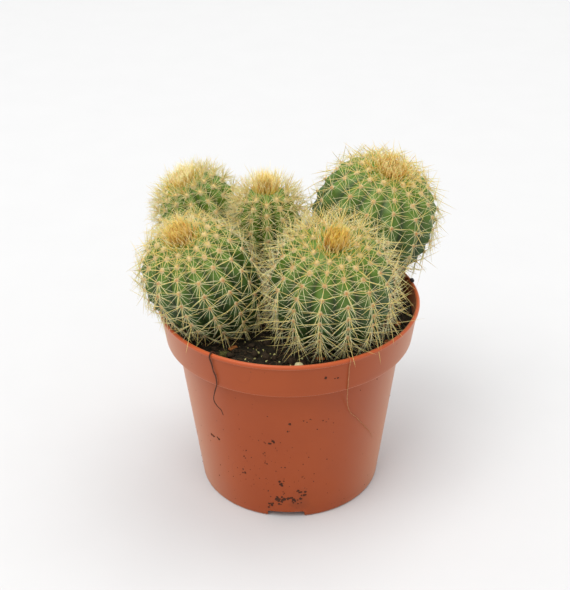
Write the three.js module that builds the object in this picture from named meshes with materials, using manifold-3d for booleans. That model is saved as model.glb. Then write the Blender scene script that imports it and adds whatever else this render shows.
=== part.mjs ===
// Five round ribbed cacti rooted together in soil in a tapered plastic nursery pot.
// Millimetres, +Z up, the pot's front towards -Y. The object stands on z = 0 and its
// bounding box is centred on the Z axis.
import * as THREE from "three";
import { mergeVertices } from "three/addons/utils/BufferGeometryUtils.js";
import Module from "manifold-3d";

const wasm = await Module();
wasm.setup();

// ---- Driving dimensions -----------------------------------------------------------

// Pot shell
const POT_HEIGHT = 94.3;
const RIM_RADIUS = 60; // over the rolled lip
const COLLAR_HEIGHT = 17.4; // from the collar's lower edge to the rim
const COLLAR_FLARE = 3; // how much narrower the collar is at its lower edge than at the rim
const COLLAR_STEP = 4.8; // how far the collar's lower edge stands out from the body
const FOOT_RADIUS = 42.6; // outside, where the body meets the ground
const WALL = 1.2;
const LIP_RADIUS = 0.9; // half the thickness of the rolled lip
const FOOT_CORNER = 1.5;

// Foot ring, drain holes
const FOOT_WIDTH = 3.2;
const FLOOR_RECESS = 3.3; // the floor's underside above the ground
const NOTCH_WIDTH = 17.2;
const NOTCH_HEIGHT = 3.2;
const NOTCH_CORNER = 1.1;
const NOTCH_COUNT = 3;
const FIRST_NOTCH_ANGLE = -93; // degrees from +X
const DRAIN_RADIUS = 3;
const DRAIN_CIRCLE = 25;
const DRAIN_COUNT = 6;

// Soil
const SOIL_DROP = 8.3; // the soil's edge below the rim
const SOIL_MOUND = 1.4; // how much higher the soil is at the pot's axis

// Cacti
const RIB_DEPTH = 3.2;
const SHOULDER = 0.87; // 1 makes the upper half an ellipse, less makes it fuller
const PIT_RADIUS = 6; // the hollow in each crown
const PIT_DEPTH = 1.8;
const ROOT_DEPTH = 9; // the root's tip below the soil line
const TUFT_RADIUS = 7; // golden bristles that stand in the hollow
const TUFT_HEIGHT = 8.5;

// Dried root strands that hang over the rim
const LEFT_STRAND_RADIUS = 0.5;
const RIGHT_STRAND_RADIUS = 0.35;

// Clearances between pieces that touch
const GAP = 0.3;

// Facets
const POT_FACETS = 64;
const FACETS_PER_RIB = 4;

// Each cactus: where its stem leaves the soil, where its crown is (x and y from the pot's
// axis), its height above the soil, its radius and ribs, how its crown leans towards +X
// and +Y in degrees, and its profile: the widest level and the level where the body
// closes onto its stem as shares of the height, and the stem's share of the radius.
const CACTI = [
  { name: "front_right", stem: [18.4, -18.5], crown: [19, -32.5], height: 52, radius: 27,
    ribs: 14, lean: [1, -22], widest: 0.49, closes: -0.12, neck: 0.3 },
  { name: "front_left", stem: [-30, -10], crown: [-45.6, -21.5], height: 50, radius: 25.2,
    ribs: 14, lean: [-14, -20], widest: 0.49, closes: -0.02, neck: 0.5 },
  { name: "back_right", stem: [30, 23.5], crown: [47.4, 28], height: 58.5, radius: 29.2,
    ribs: 13, lean: [16, -13], widest: 0.55, closes: 0.13, neck: 0.5 },
  { name: "back_centre", stem: [-6, 16.5], crown: [-9.8, 19], height: 54.4, radius: 15.6,
    ribs: 12, lean: [-1, 0], widest: 0.6, closes: 0.1, neck: 0.6 },
  { name: "back_left", stem: [-28, 29.5], crown: [-49.4, 37], height: 50.5, radius: 19.3,
    ribs: 13, lean: [-26, -6], widest: 0.64, closes: 0.22, neck: 0.5 },
];

// Loose pieces on the soil: x, y from the pot's axis, size along x, y and z, turn in degrees.
const GRIT = [
  [-13.8, -37.8, 1.8, 1.5, 1.4, 20],
  [-6.6, -39.3, 1.5, 1.3, 1.3, 75],
  [-8.4, -41.9, 1.3, 1.2, 1.1, 40],
  [-9.9, -44.1, 1.6, 1.2, 1.1, 10],
  [-19.3, -42.4, 1.4, 1.3, 1.2, 55],
  [-4.5, -44.8, 1.4, 1.2, 1.1, 30],
  [-47.5, 8, 1.8, 1.5, 1.4, 15],
  [9, 47, 1.9, 1.6, 1.5, 65],
  [1, 0, 2, 1.7, 1.5, 80],
];
const BARK = [
  [-24.9, -33.8, 4.2, 2.2, 1.2, 35],
  [13.4, -42.6, 3.8, 1.9, 1.1, -10],
  [49.4, -13.8, 4, 2.4, 1.3, 70],
  [42.6, -28.9, 3.6, 1.6, 1, 50],
];
const PEBBLE = [3.9, -48.6, 3.8, 3, 2.6, 0];
const MOSS = [-28.3, -38.6, 4.4, 3, 1.8, 30];

// Strand routes below the rim: angle from +X in degrees, drop below the rim, distance off
// the pot's side.
const LEFT_STRAND = [
  [-124.3, 4, 0], [-123.7, 9, 0], [-122.9, 12, 0], [-123, 15.5, 0], [-124.9, 21, 4.6],
  [-126.3, 26, 4.5], [-125.4, 29.5, 4], [-123.6, 31.5, 3.6], [-123.2, 34.5, 3],
];
const RIGHT_STRAND = [
  [-64.9, 4, 0], [-64.7, 9, 0], [-64.6, 15, 0], [-63.8, 20.5, 3.8], [-62.4, 26, 2.2],
  [-60.4, 31, 0.8], [-57.5, 36, 0], [-52.5, 41, 0], [-45.8, 48.6, 0], [-41.7, 53, 0],
  [-35.9, 60, 0],
];

// ---- Dependent dimensions ----------------------------------------------------------

const SHELF_Z = POT_HEIGHT - COLLAR_HEIGHT; // the collar's underside
const COLLAR_TOP_RADIUS = RIM_RADIUS - LIP_RADIUS / 2;
const COLLAR_FOOT_RADIUS = RIM_RADIUS - COLLAR_FLARE;
const BODY_TOP_RADIUS = COLLAR_FOOT_RADIUS - COLLAR_STEP;
const FLOOR_TOP = FLOOR_RECESS + WALL;
const SOIL_EDGE_Z = POT_HEIGHT - SOIL_DROP;
const SOIL_BOTTOM = FLOOR_TOP + GAP;
const FOOT_INNER_RADIUS = FOOT_RADIUS - FOOT_WIDTH;

// ---- Colours -----------------------------------------------------------------------

const TERRACOTTA = 0xa8542f;
const PEAT = 0x241c15;
const GREEN = 0x4a7038;
const AMBER = 0xd2a040;
const GRIT_CREAM = 0xcfc98a;
const BARK_ORANGE = 0xa05e28;
const PEBBLE_CREAM = 0xd6d0a0;
const MOSS_GREEN = 0x7f8a3e;
const ROOT_DARK = 0x4a2c1c;
const ROOT_TAN = 0xb58a5c;
const CRUMB_GREY = 0x3a3436;

// ---- Helpers -----------------------------------------------------------------------

const radians = THREE.MathUtils.degToRad;
const lerp = THREE.MathUtils.lerp;

/** A point at an angle and radius round the pot's axis. */
function polar(degrees, radius, z) {
  const angle = radians(degrees);
  return new THREE.Vector3(radius * Math.cos(angle), radius * Math.sin(angle), z);
}

/** A solid of revolution about +Z from [radius, z] pairs that go up the outside. */
function turned(profile, facets) {
  const points = profile.map(([radius, z]) => new THREE.Vector2(radius, z));
  return new THREE.LatheGeometry(points, facets).rotateX(Math.PI / 2);
}

/** Keeps only the positions and welds the vertices that meet. */
function welded(geometry) {
  const bare = geometry.index ? geometry.clone() : mergeVertices(geometry);
  for (const name of Object.keys(bare.attributes)) {
    if (name !== "position") bare.deleteAttribute(name);
  }
  return mergeVertices(bare, 1e-4);
}

/** A manifold solid from a closed geometry. */
function solid(geometry) {
  const clean = welded(geometry);
  return new wasm.Manifold(new wasm.Mesh({
    numProp: 3,
    vertProperties: new Float32Array(clean.attributes.position.array),
    triVerts: new Uint32Array(clean.index.array),
  }));
}

/** A geometry from a manifold solid. */
function geometryOf(manifold) {
  const mesh = manifold.getMesh();
  const geometry = new THREE.BufferGeometry();
  geometry.setAttribute("position", new THREE.BufferAttribute(mesh.vertProperties, 3));
  geometry.setIndex(new THREE.BufferAttribute(mesh.triVerts, 1));
  return geometry;
}

/** A named piece with its own finish. */
function piece(name, geometry, color, roughness = 0.9) {
  const material = new THREE.MeshStandardMaterial({ color, roughness, metalness: 0 });
  const mesh = new THREE.Mesh(welded(geometry), material);
  mesh.geometry.computeVertexNormals();
  mesh.name = name;
  return mesh;
}

// ---- Pot ---------------------------------------------------------------------------

/** The outside radius of the pot at a height, without the lip. */
function potRadius(z) {
  if (z < SHELF_Z) return lerp(FOOT_RADIUS, BODY_TOP_RADIUS, z / SHELF_Z);
  return lerp(COLLAR_FOOT_RADIUS, COLLAR_TOP_RADIUS, (z - SHELF_Z) / COLLAR_HEIGHT);
}

/** The rolled lip's section, from its outside over the top to its inside. */
function lipArc() {
  const points = [];
  for (const degrees of [-30, 10, 50, 90, 130, 170]) {
    const angle = radians(degrees);
    points.push([
      RIM_RADIUS - LIP_RADIUS + LIP_RADIUS * Math.cos(angle),
      POT_HEIGHT - LIP_RADIUS + LIP_RADIUS * Math.sin(angle),
    ]);
  }
  return points;
}

/** The whole section of the shell, round the outside and back down the inside. */
function potProfile() {
  const lipFoot = POT_HEIGHT - 2.2 * LIP_RADIUS;
  const shelfTop = SHELF_Z + WALL;
  return [
    [0, FLOOR_RECESS],
    [FOOT_INNER_RADIUS, FLOOR_RECESS],
    [FOOT_INNER_RADIUS, 0],
    [FOOT_RADIUS - FOOT_CORNER, 0],
    [FOOT_RADIUS - 0.3 * FOOT_CORNER, 0.3 * FOOT_CORNER],
    [potRadius(FOOT_CORNER), FOOT_CORNER],
    [BODY_TOP_RADIUS, SHELF_Z - 0.5],
    [BODY_TOP_RADIUS + 0.5, SHELF_Z],
    [COLLAR_FOOT_RADIUS - 0.5, SHELF_Z],
    [potRadius(SHELF_Z + 0.5), SHELF_Z + 0.5],
    [potRadius(lipFoot), lipFoot],
    ...lipArc(),
    [potRadius(lipFoot) - WALL, lipFoot],
    [potRadius(shelfTop) - WALL, shelfTop],
    [BODY_TOP_RADIUS - WALL, shelfTop],
    [potRadius(FLOOR_TOP + 2) - WALL, FLOOR_TOP + 2],
    [potRadius(FLOOR_TOP) - WALL - 2, FLOOR_TOP],
    [0, FLOOR_TOP],
  ];
}

/** The cutter for one round-shouldered notch through the foot ring. */
function notchCutter(degrees) {
  const half = NOTCH_WIDTH / 2;
  const outline = new THREE.Shape();
  outline.moveTo(-half, -1);
  outline.lineTo(half, -1);
  outline.lineTo(half, NOTCH_HEIGHT - NOTCH_CORNER);
  outline.absarc(half - NOTCH_CORNER, NOTCH_HEIGHT - NOTCH_CORNER, NOTCH_CORNER, 0, Math.PI / 2);
  outline.absarc(-half + NOTCH_CORNER, NOTCH_HEIGHT - NOTCH_CORNER, NOTCH_CORNER, Math.PI / 2, Math.PI);
  outline.lineTo(-half, -1);
  const reach = FOOT_WIDTH + 6;
  return new THREE.ExtrudeGeometry(outline, { depth: reach, bevelEnabled: false, curveSegments: 4 })
    .rotateX(Math.PI / 2)
    .translate(0, -(FOOT_RADIUS + 2 - reach), 0)
    .rotateZ(radians(degrees + 90));
}

/** A drain hole's bore, or the soil that fills it, on the hole's own circle. */
function drainPlug(index, radius, bottom, top) {
  const centre = polar((index * 360) / DRAIN_COUNT, DRAIN_CIRCLE, (bottom + top) / 2);
  return new THREE.CylinderGeometry(radius, radius, top - bottom, 16)
    .rotateX(Math.PI / 2)
    .translate(centre.x, centre.y, centre.z);
}

function buildPot() {
  let shell = solid(turned(potProfile(), POT_FACETS));
  for (let i = 0; i < NOTCH_COUNT; i++) {
    shell = shell.subtract(solid(notchCutter(FIRST_NOTCH_ANGLE + (i * 360) / NOTCH_COUNT)));
  }
  for (let i = 0; i < DRAIN_COUNT; i++) {
    shell = shell.subtract(solid(drainPlug(i, DRAIN_RADIUS, 0, FLOOR_TOP + 1)));
  }
  return piece("pot", geometryOf(shell), TERRACOTTA, 0.45);
}

// ---- Cacti -------------------------------------------------------------------------

/** The upward direction of a cactus's crown. */
function crownAxis(cactus) {
  const [leanX, leanY] = cactus.lean.map((degrees) => Math.tan(radians(degrees)));
  return new THREE.Vector3(leanX, leanY, 1).normalize();
}

/** The centre of the stem where it leaves the soil, and of the crown. */
function stemEnds(cactus) {
  const bottom = new THREE.Vector3(...cactus.stem, SOIL_EDGE_Z);
  const top = new THREE.Vector3(...cactus.crown, SOIL_EDGE_Z + cactus.height);
  return [bottom, top];
}

/** A place on the bent axis at a share of the height: the ring's centre and its turn. */
function axisFrame(cactus, share) {
  const up = crownAxis(cactus);
  const [bottom, top] = stemEnds(cactus);
  const bend = top.clone().addScaledVector(up, -cactus.height / 2 / up.z);
  const curve = new THREE.QuadraticBezierCurve3(bottom, bend, top);
  const centre = new THREE.Vector3();
  if (share > 0) curve.getPoint(Math.min(share, 1), centre);
  else centre.copy(bottom).addScaledVector(bend.clone().sub(bottom), 2 * share);
  const normal = new THREE.Vector3(0, 0, 1).lerp(up, THREE.MathUtils.clamp(share, 0, 1));
  const turn = new THREE.Quaternion().setFromUnitVectors(new THREE.Vector3(0, 0, 1), normal.normalize());
  return { centre, turn };
}

/** The angle up the shoulder at which the crown's hollow begins. */
function pitAngle(cactus) {
  return Math.acos((PIT_RADIUS / cactus.radius) ** (1 / SHOULDER));
}

/** The crest outline as [radius, share of the height], from the root's tip to the crown. */
function crestProfile(cactus) {
  const { height, radius, widest, closes, neck } = cactus;
  const rise = crownAxis(cactus).z / height;
  const tip = -ROOT_DEPTH / height;
  const profile = [[0, tip], [0.35 * neck * radius, tip], [0.6 * neck * radius, 0.85 * tip]];
  for (let i = 0; i <= 6; i++) {
    const angle = (i / 6) * (Math.PI / 2);
    const swell = Math.sqrt(neck ** 2 + (1 - neck ** 2) * Math.sin(angle) ** 2);
    profile.push([radius * swell, widest - (widest - closes) * Math.cos(angle)]);
  }
  const lastAngle = pitAngle(cactus);
  for (let i = 1; i <= 7; i++) {
    const angle = (i / 7) * lastAngle;
    profile.push([
      radius * Math.cos(angle) ** SHOULDER,
      widest + (1 - widest) * Math.sin(angle) ** SHOULDER,
    ]);
  }
  profile.push([0, profile[profile.length - 1][1] - PIT_DEPTH * rise]);
  return profile;
}

/** How far a point lies in the furrow between two ribs, from 0 on a crest to 1. */
function furrow(cactus, angle, share) {
  const across = 1 - Math.abs(Math.cos((cactus.ribs * angle) / 2));
  const towardsCrown = THREE.MathUtils.clamp((1 - share) / 0.1, 0, 1);
  const towardsStem = THREE.MathUtils.clamp((share - cactus.closes) / 0.2, 0, 1);
  return across * Math.sqrt(towardsCrown) * towardsStem;
}

/** A cactus's body on its bent axis, with its ribs or as smooth as its crests' outline. */
function bodyGeometry(cactus, ribbed) {
  const profile = crestProfile(cactus).map(([radius, share]) => [radius, share * cactus.height]);
  const geometry = turned(profile, cactus.ribs * FACETS_PER_RIB);
  const position = geometry.attributes.position;
  const point = new THREE.Vector3();
  for (let i = 0; i < position.count; i++) {
    point.fromBufferAttribute(position, i);
    const share = point.z / cactus.height;
    const angle = Math.atan2(point.y, point.x);
    let radius = Math.hypot(point.x, point.y);
    if (ribbed) radius -= RIB_DEPTH * (radius / cactus.radius) * furrow(cactus, angle, share);
    const frame = axisFrame(cactus, share);
    point.set(radius * Math.cos(angle), radius * Math.sin(angle), 0);
    point.applyQuaternion(frame.turn).add(frame.centre);
    position.setXYZ(i, point.x, point.y, point.z);
  }
  return geometry;
}

/** The room a cactus takes up in the soil, its clearance included. */
function pocketGeometry(cactus) {
  const geometry = welded(bodyGeometry(cactus, false));
  geometry.computeVertexNormals();
  const { position, normal } = geometry.attributes;
  const point = new THREE.Vector3();
  const outward = new THREE.Vector3();
  for (let i = 0; i < position.count; i++) {
    outward.fromBufferAttribute(normal, i);
    point.fromBufferAttribute(position, i).addScaledVector(outward, 1.15 * GAP);
    position.setXYZ(i, point.x, point.y, point.z);
  }
  return geometry;
}

/** The brush of golden bristles that stands in a crown's hollow. */
function tuftGeometry() {
  const seat = GAP + 0.1;
  const geometry = turned([
    [0, -PIT_DEPTH + seat],
    [0.85 * PIT_RADIUS, -0.15 * PIT_DEPTH + seat],
    [0.97 * TUFT_RADIUS, 0.45 * TUFT_HEIGHT],
    [TUFT_RADIUS, 0.8 * TUFT_HEIGHT],
    [0.55 * TUFT_RADIUS, 0.9 * TUFT_HEIGHT],
    [0, 0.75 * TUFT_HEIGHT],
  ], 20);
  const position = geometry.attributes.position;
  for (let i = 0; i < position.count; i++) {
    const [x, y, z] = [position.getX(i), position.getY(i), position.getZ(i)];
    const tooth = z > 0.6 * TUFT_HEIGHT && Math.hypot(x, y) > 1 ? 0.12 * TUFT_HEIGHT : 0;
    position.setZ(i, z + tooth * Math.cos(10 * Math.atan2(y, x)));
  }
  return geometry;
}

function buildTuft(cactus) {
  const tuft = piece(`crown_tuft_${cactus.name}`, tuftGeometry(), AMBER, 0.6);
  const up = crownAxis(cactus);
  const rimDrop = (cactus.height / up.z) * (1 - cactus.widest)
    * (1 - Math.sin(pitAngle(cactus)) ** SHOULDER);
  tuft.quaternion.setFromUnitVectors(new THREE.Vector3(0, 0, 1), up);
  tuft.position.copy(stemEnds(cactus)[1]).addScaledVector(up, -rimDrop);
  return tuft;
}

// ---- Soil --------------------------------------------------------------------------

/** The soil surface's [radius, z] from the wall to the pot's axis. */
function soilSurface() {
  const edge = potRadius(SOIL_EDGE_Z) - WALL - GAP;
  return [1, 0.65, 0.3, 0].map((share) => [edge * share, SOIL_EDGE_Z + SOIL_MOUND * (1 - share ** 2)]);
}

/** The height of the soil at a distance from the pot's axis. */
function soilHeight(radius) {
  const rings = soilSurface();
  for (let i = 1; i < rings.length; i++) {
    const [[outer, low], [inner, high]] = [rings[i - 1], rings[i]];
    if (radius >= inner) return lerp(high, low, (radius - inner) / (outer - inner));
  }
  return rings[rings.length - 1][1];
}

function buildSoil() {
  const shelfTop = SHELF_Z + WALL + GAP;
  let plug = solid(turned([
    [0, SOIL_BOTTOM],
    [potRadius(SOIL_BOTTOM) - WALL - GAP - 2, SOIL_BOTTOM],
    [potRadius(SOIL_BOTTOM + 2) - WALL - GAP, SOIL_BOTTOM + 2],
    [BODY_TOP_RADIUS - WALL - GAP, shelfTop],
    [potRadius(shelfTop) - WALL - GAP, shelfTop],
    ...soilSurface(),
  ], POT_FACETS));
  for (let i = 0; i < DRAIN_COUNT; i++) {
    plug = plug.add(solid(drainPlug(i, DRAIN_RADIUS - GAP, FLOOR_RECESS + GAP, SOIL_BOTTOM + 1)));
  }
  for (const cactus of CACTI) {
    plug = plug.subtract(solid(pocketGeometry(cactus)));
  }
  return piece("soil", geometryOf(plug), PEAT, 1);
}

// ---- Loose pieces ------------------------------------------------------------------

/** A lump of the given size, standing on a height with its own clearance. */
function lump(name, [x, y, length, width, thickness, degrees], floor, color, detail = 1) {
  const geometry = new THREE.IcosahedronGeometry(0.5, detail)
    .scale(length, width, thickness)
    .rotateZ(radians(degrees));
  geometry.computeBoundingBox();
  const mesh = piece(name, geometry, color, 0.8);
  mesh.position.set(x, y, floor + GAP - geometry.boundingBox.min.z);
  return mesh;
}

/** A lump lying on the soil, clear of its slope. */
function onSoil(name, place, color, detail) {
  const [x, y, length] = place;
  return lump(name, place, soilHeight(Math.hypot(x, y) - length / 2), color, detail);
}

/** A flake of bark: a thin six-sided outline with a rounded edge, lying on the soil. */
function buildBark(name, [x, y, length, width, thickness, degrees]) {
  const outline = new THREE.Shape([
    [-0.5, -0.1], [-0.2, -0.5], [0.35, -0.4], [0.5, 0.05], [0.25, 0.5], [-0.35, 0.4],
  ].map(([u, v]) => new THREE.Vector2(u * length, v * width)));
  const geometry = new THREE.ExtrudeGeometry(outline, { depth: thickness, bevelEnabled: false })
    .rotateZ(radians(degrees));
  const mesh = piece(name, geometry, BARK_ORANGE, 0.85);
  mesh.position.set(x, y, soilHeight(Math.hypot(x, y) - length / 2) + GAP);
  return mesh;
}

/** A dark crumb of peat on top of the rolled lip. */
function buildCrumb() {
  const place = polar(12, RIM_RADIUS - LIP_RADIUS, 0);
  return lump("rim_crumb", [place.x, place.y, 2.6, 1.9, 1.8, 100], POT_HEIGHT, CRUMB_GREY);
}

/** A dried root: out of the soil, over the lip and down the outside of the pot. */
function buildStrand(name, route, radius, color, steps) {
  const stand = radius + GAP + 0.05;
  const angle = route[0][0];
  const lipCentre = RIM_RADIUS - LIP_RADIUS;
  const lipReach = LIP_RADIUS + stand;
  const start = lipCentre - 2 * lipReach;
  const points = [
    polar(angle + 1.5, start - 3, soilHeight(start - 3) + stand),
    polar(angle + 1, start, lerp(SOIL_EDGE_Z, POT_HEIGHT, 0.35)),
    polar(angle + 0.5, lipCentre - 1.25 * lipReach, POT_HEIGHT - LIP_RADIUS),
  ];
  for (const degrees of [130, 90, 45, 0]) {
    const turn = radians(degrees);
    const [out, up] = [1.06 * lipReach * Math.cos(turn), 1.06 * lipReach * Math.sin(turn)];
    points.push(polar(angle, lipCentre + out, POT_HEIGHT - LIP_RADIUS + up));
  }
  for (const [degrees, drop, off] of route) {
    const z = POT_HEIGHT - drop;
    points.push(polar(degrees, potRadius(z) + off + stand + 0.15, z));
  }
  const section = new THREE.Shape(new THREE.EllipseCurve(0, 0, radius, radius).getPoints(6).slice(0, 6));
  const geometry = new THREE.ExtrudeGeometry(section, {
    steps, bevelEnabled: false, extrudePath: new THREE.CatmullRomCurve3(points, false, "centripetal"),
  });
  return piece(name, geometry, color, 0.8);
}

// ---- Assembly ----------------------------------------------------------------------

const number = (index) => String(index + 1).padStart(2, "0");

const assembly = new THREE.Group();
assembly.add(buildPot(), buildSoil());
for (const cactus of CACTI) {
  assembly.add(piece(`cactus_${cactus.name}`, bodyGeometry(cactus, true), GREEN, 0.7));
  assembly.add(buildTuft(cactus));
}
GRIT.forEach((place, i) => assembly.add(onSoil(`grit_${number(i)}`, place, GRIT_CREAM, 0)));
BARK.forEach((place, i) => assembly.add(buildBark(`bark_chip_${number(i)}`, place)));
assembly.add(onSoil("pebble", PEBBLE, PEBBLE_CREAM), onSoil("moss_tuft", MOSS, MOSS_GREEN));
assembly.add(buildCrumb());
assembly.add(buildStrand("root_strand_left", LEFT_STRAND, LEFT_STRAND_RADIUS, ROOT_DARK, 44));
assembly.add(buildStrand("root_strand_right", RIGHT_STRAND, RIGHT_STRAND_RADIUS, ROOT_TAN, 60));

// The whole object stands with its bounding box centred on the Z axis.
const middle = new THREE.Box3().setFromObject(assembly).getCenter(new THREE.Vector3());
assembly.position.set(-middle.x, -middle.y, 0);

const group = new THREE.Group();
group.add(assembly);
group.updateMatrixWorld(true);

export default group;
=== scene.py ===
"""Five round ribbed cacti rooted together in a tapered terracotta-coloured nursery pot.

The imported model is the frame: every piece here stands where its solid stands, in metres,
+Z up, with the pot's front towards -Y. Shapes are worked out in millimetres from the pot's
axis, and are moved to the row frame when a mesh is made.
"""

import logging
import math
from dataclasses import dataclass, field
from enum import Enum

import bmesh
import bpy
import numpy as np
from mathutils import Matrix, Vector, noise
from mathutils.bvhtree import BVHTree


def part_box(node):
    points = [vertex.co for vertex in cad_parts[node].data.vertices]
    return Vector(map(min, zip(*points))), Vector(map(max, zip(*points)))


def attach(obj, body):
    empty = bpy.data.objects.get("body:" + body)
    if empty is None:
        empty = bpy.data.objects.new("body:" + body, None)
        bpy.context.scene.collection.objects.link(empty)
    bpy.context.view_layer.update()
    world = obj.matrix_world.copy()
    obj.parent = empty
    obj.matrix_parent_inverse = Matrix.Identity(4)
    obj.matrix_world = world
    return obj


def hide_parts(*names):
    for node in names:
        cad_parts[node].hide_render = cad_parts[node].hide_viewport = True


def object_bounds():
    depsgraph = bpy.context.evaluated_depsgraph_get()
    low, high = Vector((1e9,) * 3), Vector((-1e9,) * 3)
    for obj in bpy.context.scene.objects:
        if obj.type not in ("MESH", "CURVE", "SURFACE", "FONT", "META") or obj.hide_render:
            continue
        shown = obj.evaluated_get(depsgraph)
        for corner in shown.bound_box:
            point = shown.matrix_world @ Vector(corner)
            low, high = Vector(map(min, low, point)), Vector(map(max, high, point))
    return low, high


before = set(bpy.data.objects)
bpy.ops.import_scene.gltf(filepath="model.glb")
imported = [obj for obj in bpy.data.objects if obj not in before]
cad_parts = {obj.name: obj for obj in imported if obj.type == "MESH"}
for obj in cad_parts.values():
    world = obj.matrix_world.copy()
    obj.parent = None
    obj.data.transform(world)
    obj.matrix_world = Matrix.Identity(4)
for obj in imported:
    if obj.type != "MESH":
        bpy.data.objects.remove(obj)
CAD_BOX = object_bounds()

MM = 0.001
ROOT = "root"
SPINE_REACH = 9.3  # how far a spine's tip may stand out of the CAD model's box, in millimetres
SHORTEST_SPINE = 2.2  # a spine with less room than this is left out, in millimetres
LOG = logging.getLogger("potted_cactus")

Array = np.ndarray
Socket = bpy.types.NodeSocket


# ---- Numbers and meshes ------------------------------------------------------------


def linear(hex_colour: str) -> tuple[float, float, float, float]:
    """A shader colour from a six-digit display colour.

    Args:
        hex_colour: Two hexadecimal digits each for red, green and blue.

    Returns:
        Linear red, green, blue and an alpha of 1.
    """
    parts = [int(hex_colour[i : i + 2], 16) / 255 for i in (0, 2, 4)]
    values = [c / 12.92 if c <= 0.04045 else ((c + 0.055) / 1.055) ** 2.4 for c in parts]
    return (*values, 1.0)


def unit(vectors: Array) -> Array:
    """Rows of vectors scaled to length 1."""
    return vectors / np.maximum(np.linalg.norm(vectors, axis=-1, keepdims=True), 1e-9)


def smooth(x: Array) -> Array:
    """A smooth step from 0 at x = 0 to 1 at x = 1."""
    x = np.clip(x, 0, 1)
    return x * x * (3 - 2 * x)


def ripple(points: Array, size: float, seed: float) -> Array:
    """Smooth random relief at each point.

    Args:
        points: Rows of x, y, z in millimetres.
        size: The width of a bump in millimetres.
        seed: A shift that gives another pattern.

    Returns:
        A value from about -1 to 1 for each point.
    """
    shift = Vector((seed * 13.7, seed * 7.1, seed * 3.3))
    return np.array([noise.noise(Vector(p) / size + shift) for p in points])


@dataclass
class MeshData:
    """Points in millimetres from the pot's axis, faces, and values that finishes read."""

    points: Array
    quads: Array = field(default_factory=lambda: np.zeros((0, 4), int))
    triangles: Array = field(default_factory=lambda: np.zeros((0, 3), int))
    marks: dict[str, Array] = field(default_factory=dict)

    @staticmethod
    def joined(parts: list["MeshData"]) -> "MeshData":
        """One mesh from several that carry the same marks.

        Args:
            parts: The meshes.

        Returns:
            A mesh that holds them all.
        """
        starts = np.cumsum([0] + [len(part.points) for part in parts[:-1]])
        names = parts[0].marks
        return MeshData(
            np.concatenate([part.points for part in parts]),
            np.concatenate([part.quads + start for part, start in zip(parts, starts)]),
            np.concatenate([part.triangles + start for part, start in zip(parts, starts)]),
            {name: np.concatenate([part.marks[name] for part in parts]) for name in names},
        )


def lathe(profile: Array, columns: int) -> MeshData:
    """A closed surface of revolution whose profile starts and ends on the axis.

    Args:
        profile: Rows of radius and z. The first and last radius are 0.
        columns: How many facets go round.

    Returns:
        The mesh, with its poles as single points.
    """
    angle = np.arange(columns) * 2 * math.pi / columns
    inner = profile[1:-1]
    rings = np.stack(
        [
            inner[:, :1] * np.cos(angle),
            inner[:, :1] * np.sin(angle),
            np.repeat(inner[:, 1:], columns, axis=1),
        ],
        axis=-1,
    ).reshape(-1, 3)
    poles = np.array([[0, 0, profile[0, 1]], [0, 0, profile[-1, 1]]])
    quads, triangles = ring_faces(len(inner), columns)
    return MeshData(np.concatenate([rings, poles]), quads, triangles)


def ring_faces(rows: int, columns: int) -> tuple[Array, Array]:
    """The faces of a tube of rings with a pole at each end.

    Args:
        rows: How many rings there are.
        columns: How many points each ring has.

    Returns:
        The quads between rings, and the triangles to the two poles that follow the rings.
    """
    row, column = np.meshgrid(np.arange(rows - 1), np.arange(columns), indexing="ij")
    after = (column + 1) % columns
    quads = np.stack(
        [row * columns + column, row * columns + after,
         (row + 1) * columns + after, (row + 1) * columns + column],
        axis=-1,
    ).reshape(-1, 4)
    here = np.arange(columns)
    following = (here + 1) % columns
    last = (rows - 1) * columns
    low = np.stack([following, here, np.full(columns, rows * columns)], axis=-1)
    high = np.stack([last + here, last + following, np.full(columns, rows * columns + 1)], axis=-1)
    return quads, np.concatenate([low, high])


def rounded(corners: list[tuple[float, float, float]], steps: int = 5) -> Array:
    """An outline whose corners are turned into arcs.

    Args:
        corners: Radius, z and fillet radius of each corner.
        steps: How many points each arc has, less one.

    Returns:
        Rows of radius and z.
    """
    points = [np.array(corner[:2]) for corner in corners]
    outline = [points[0]]
    for i in range(1, len(corners) - 1):
        fillet = corners[i][2]
        before, here, after = points[i - 1 : i + 2]
        to_before, to_after = unit(before - here), unit(after - here)
        half = math.acos(np.clip(to_before @ to_after, -1, 1)) / 2
        if fillet <= 0 or half > 1.5:
            outline.append(here)
            continue
        reach = min(
            fillet / math.tan(half),
            0.49 * np.linalg.norm(before - here),
            0.49 * np.linalg.norm(after - here),
        )
        start, end = here + to_before * reach, here + to_after * reach
        for t in np.linspace(0, 1, steps + 1):
            outline.append((1 - t) ** 2 * start + 2 * t * (1 - t) * here + t * t * end)
    outline.append(points[-1])
    return np.array(outline)


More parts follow.
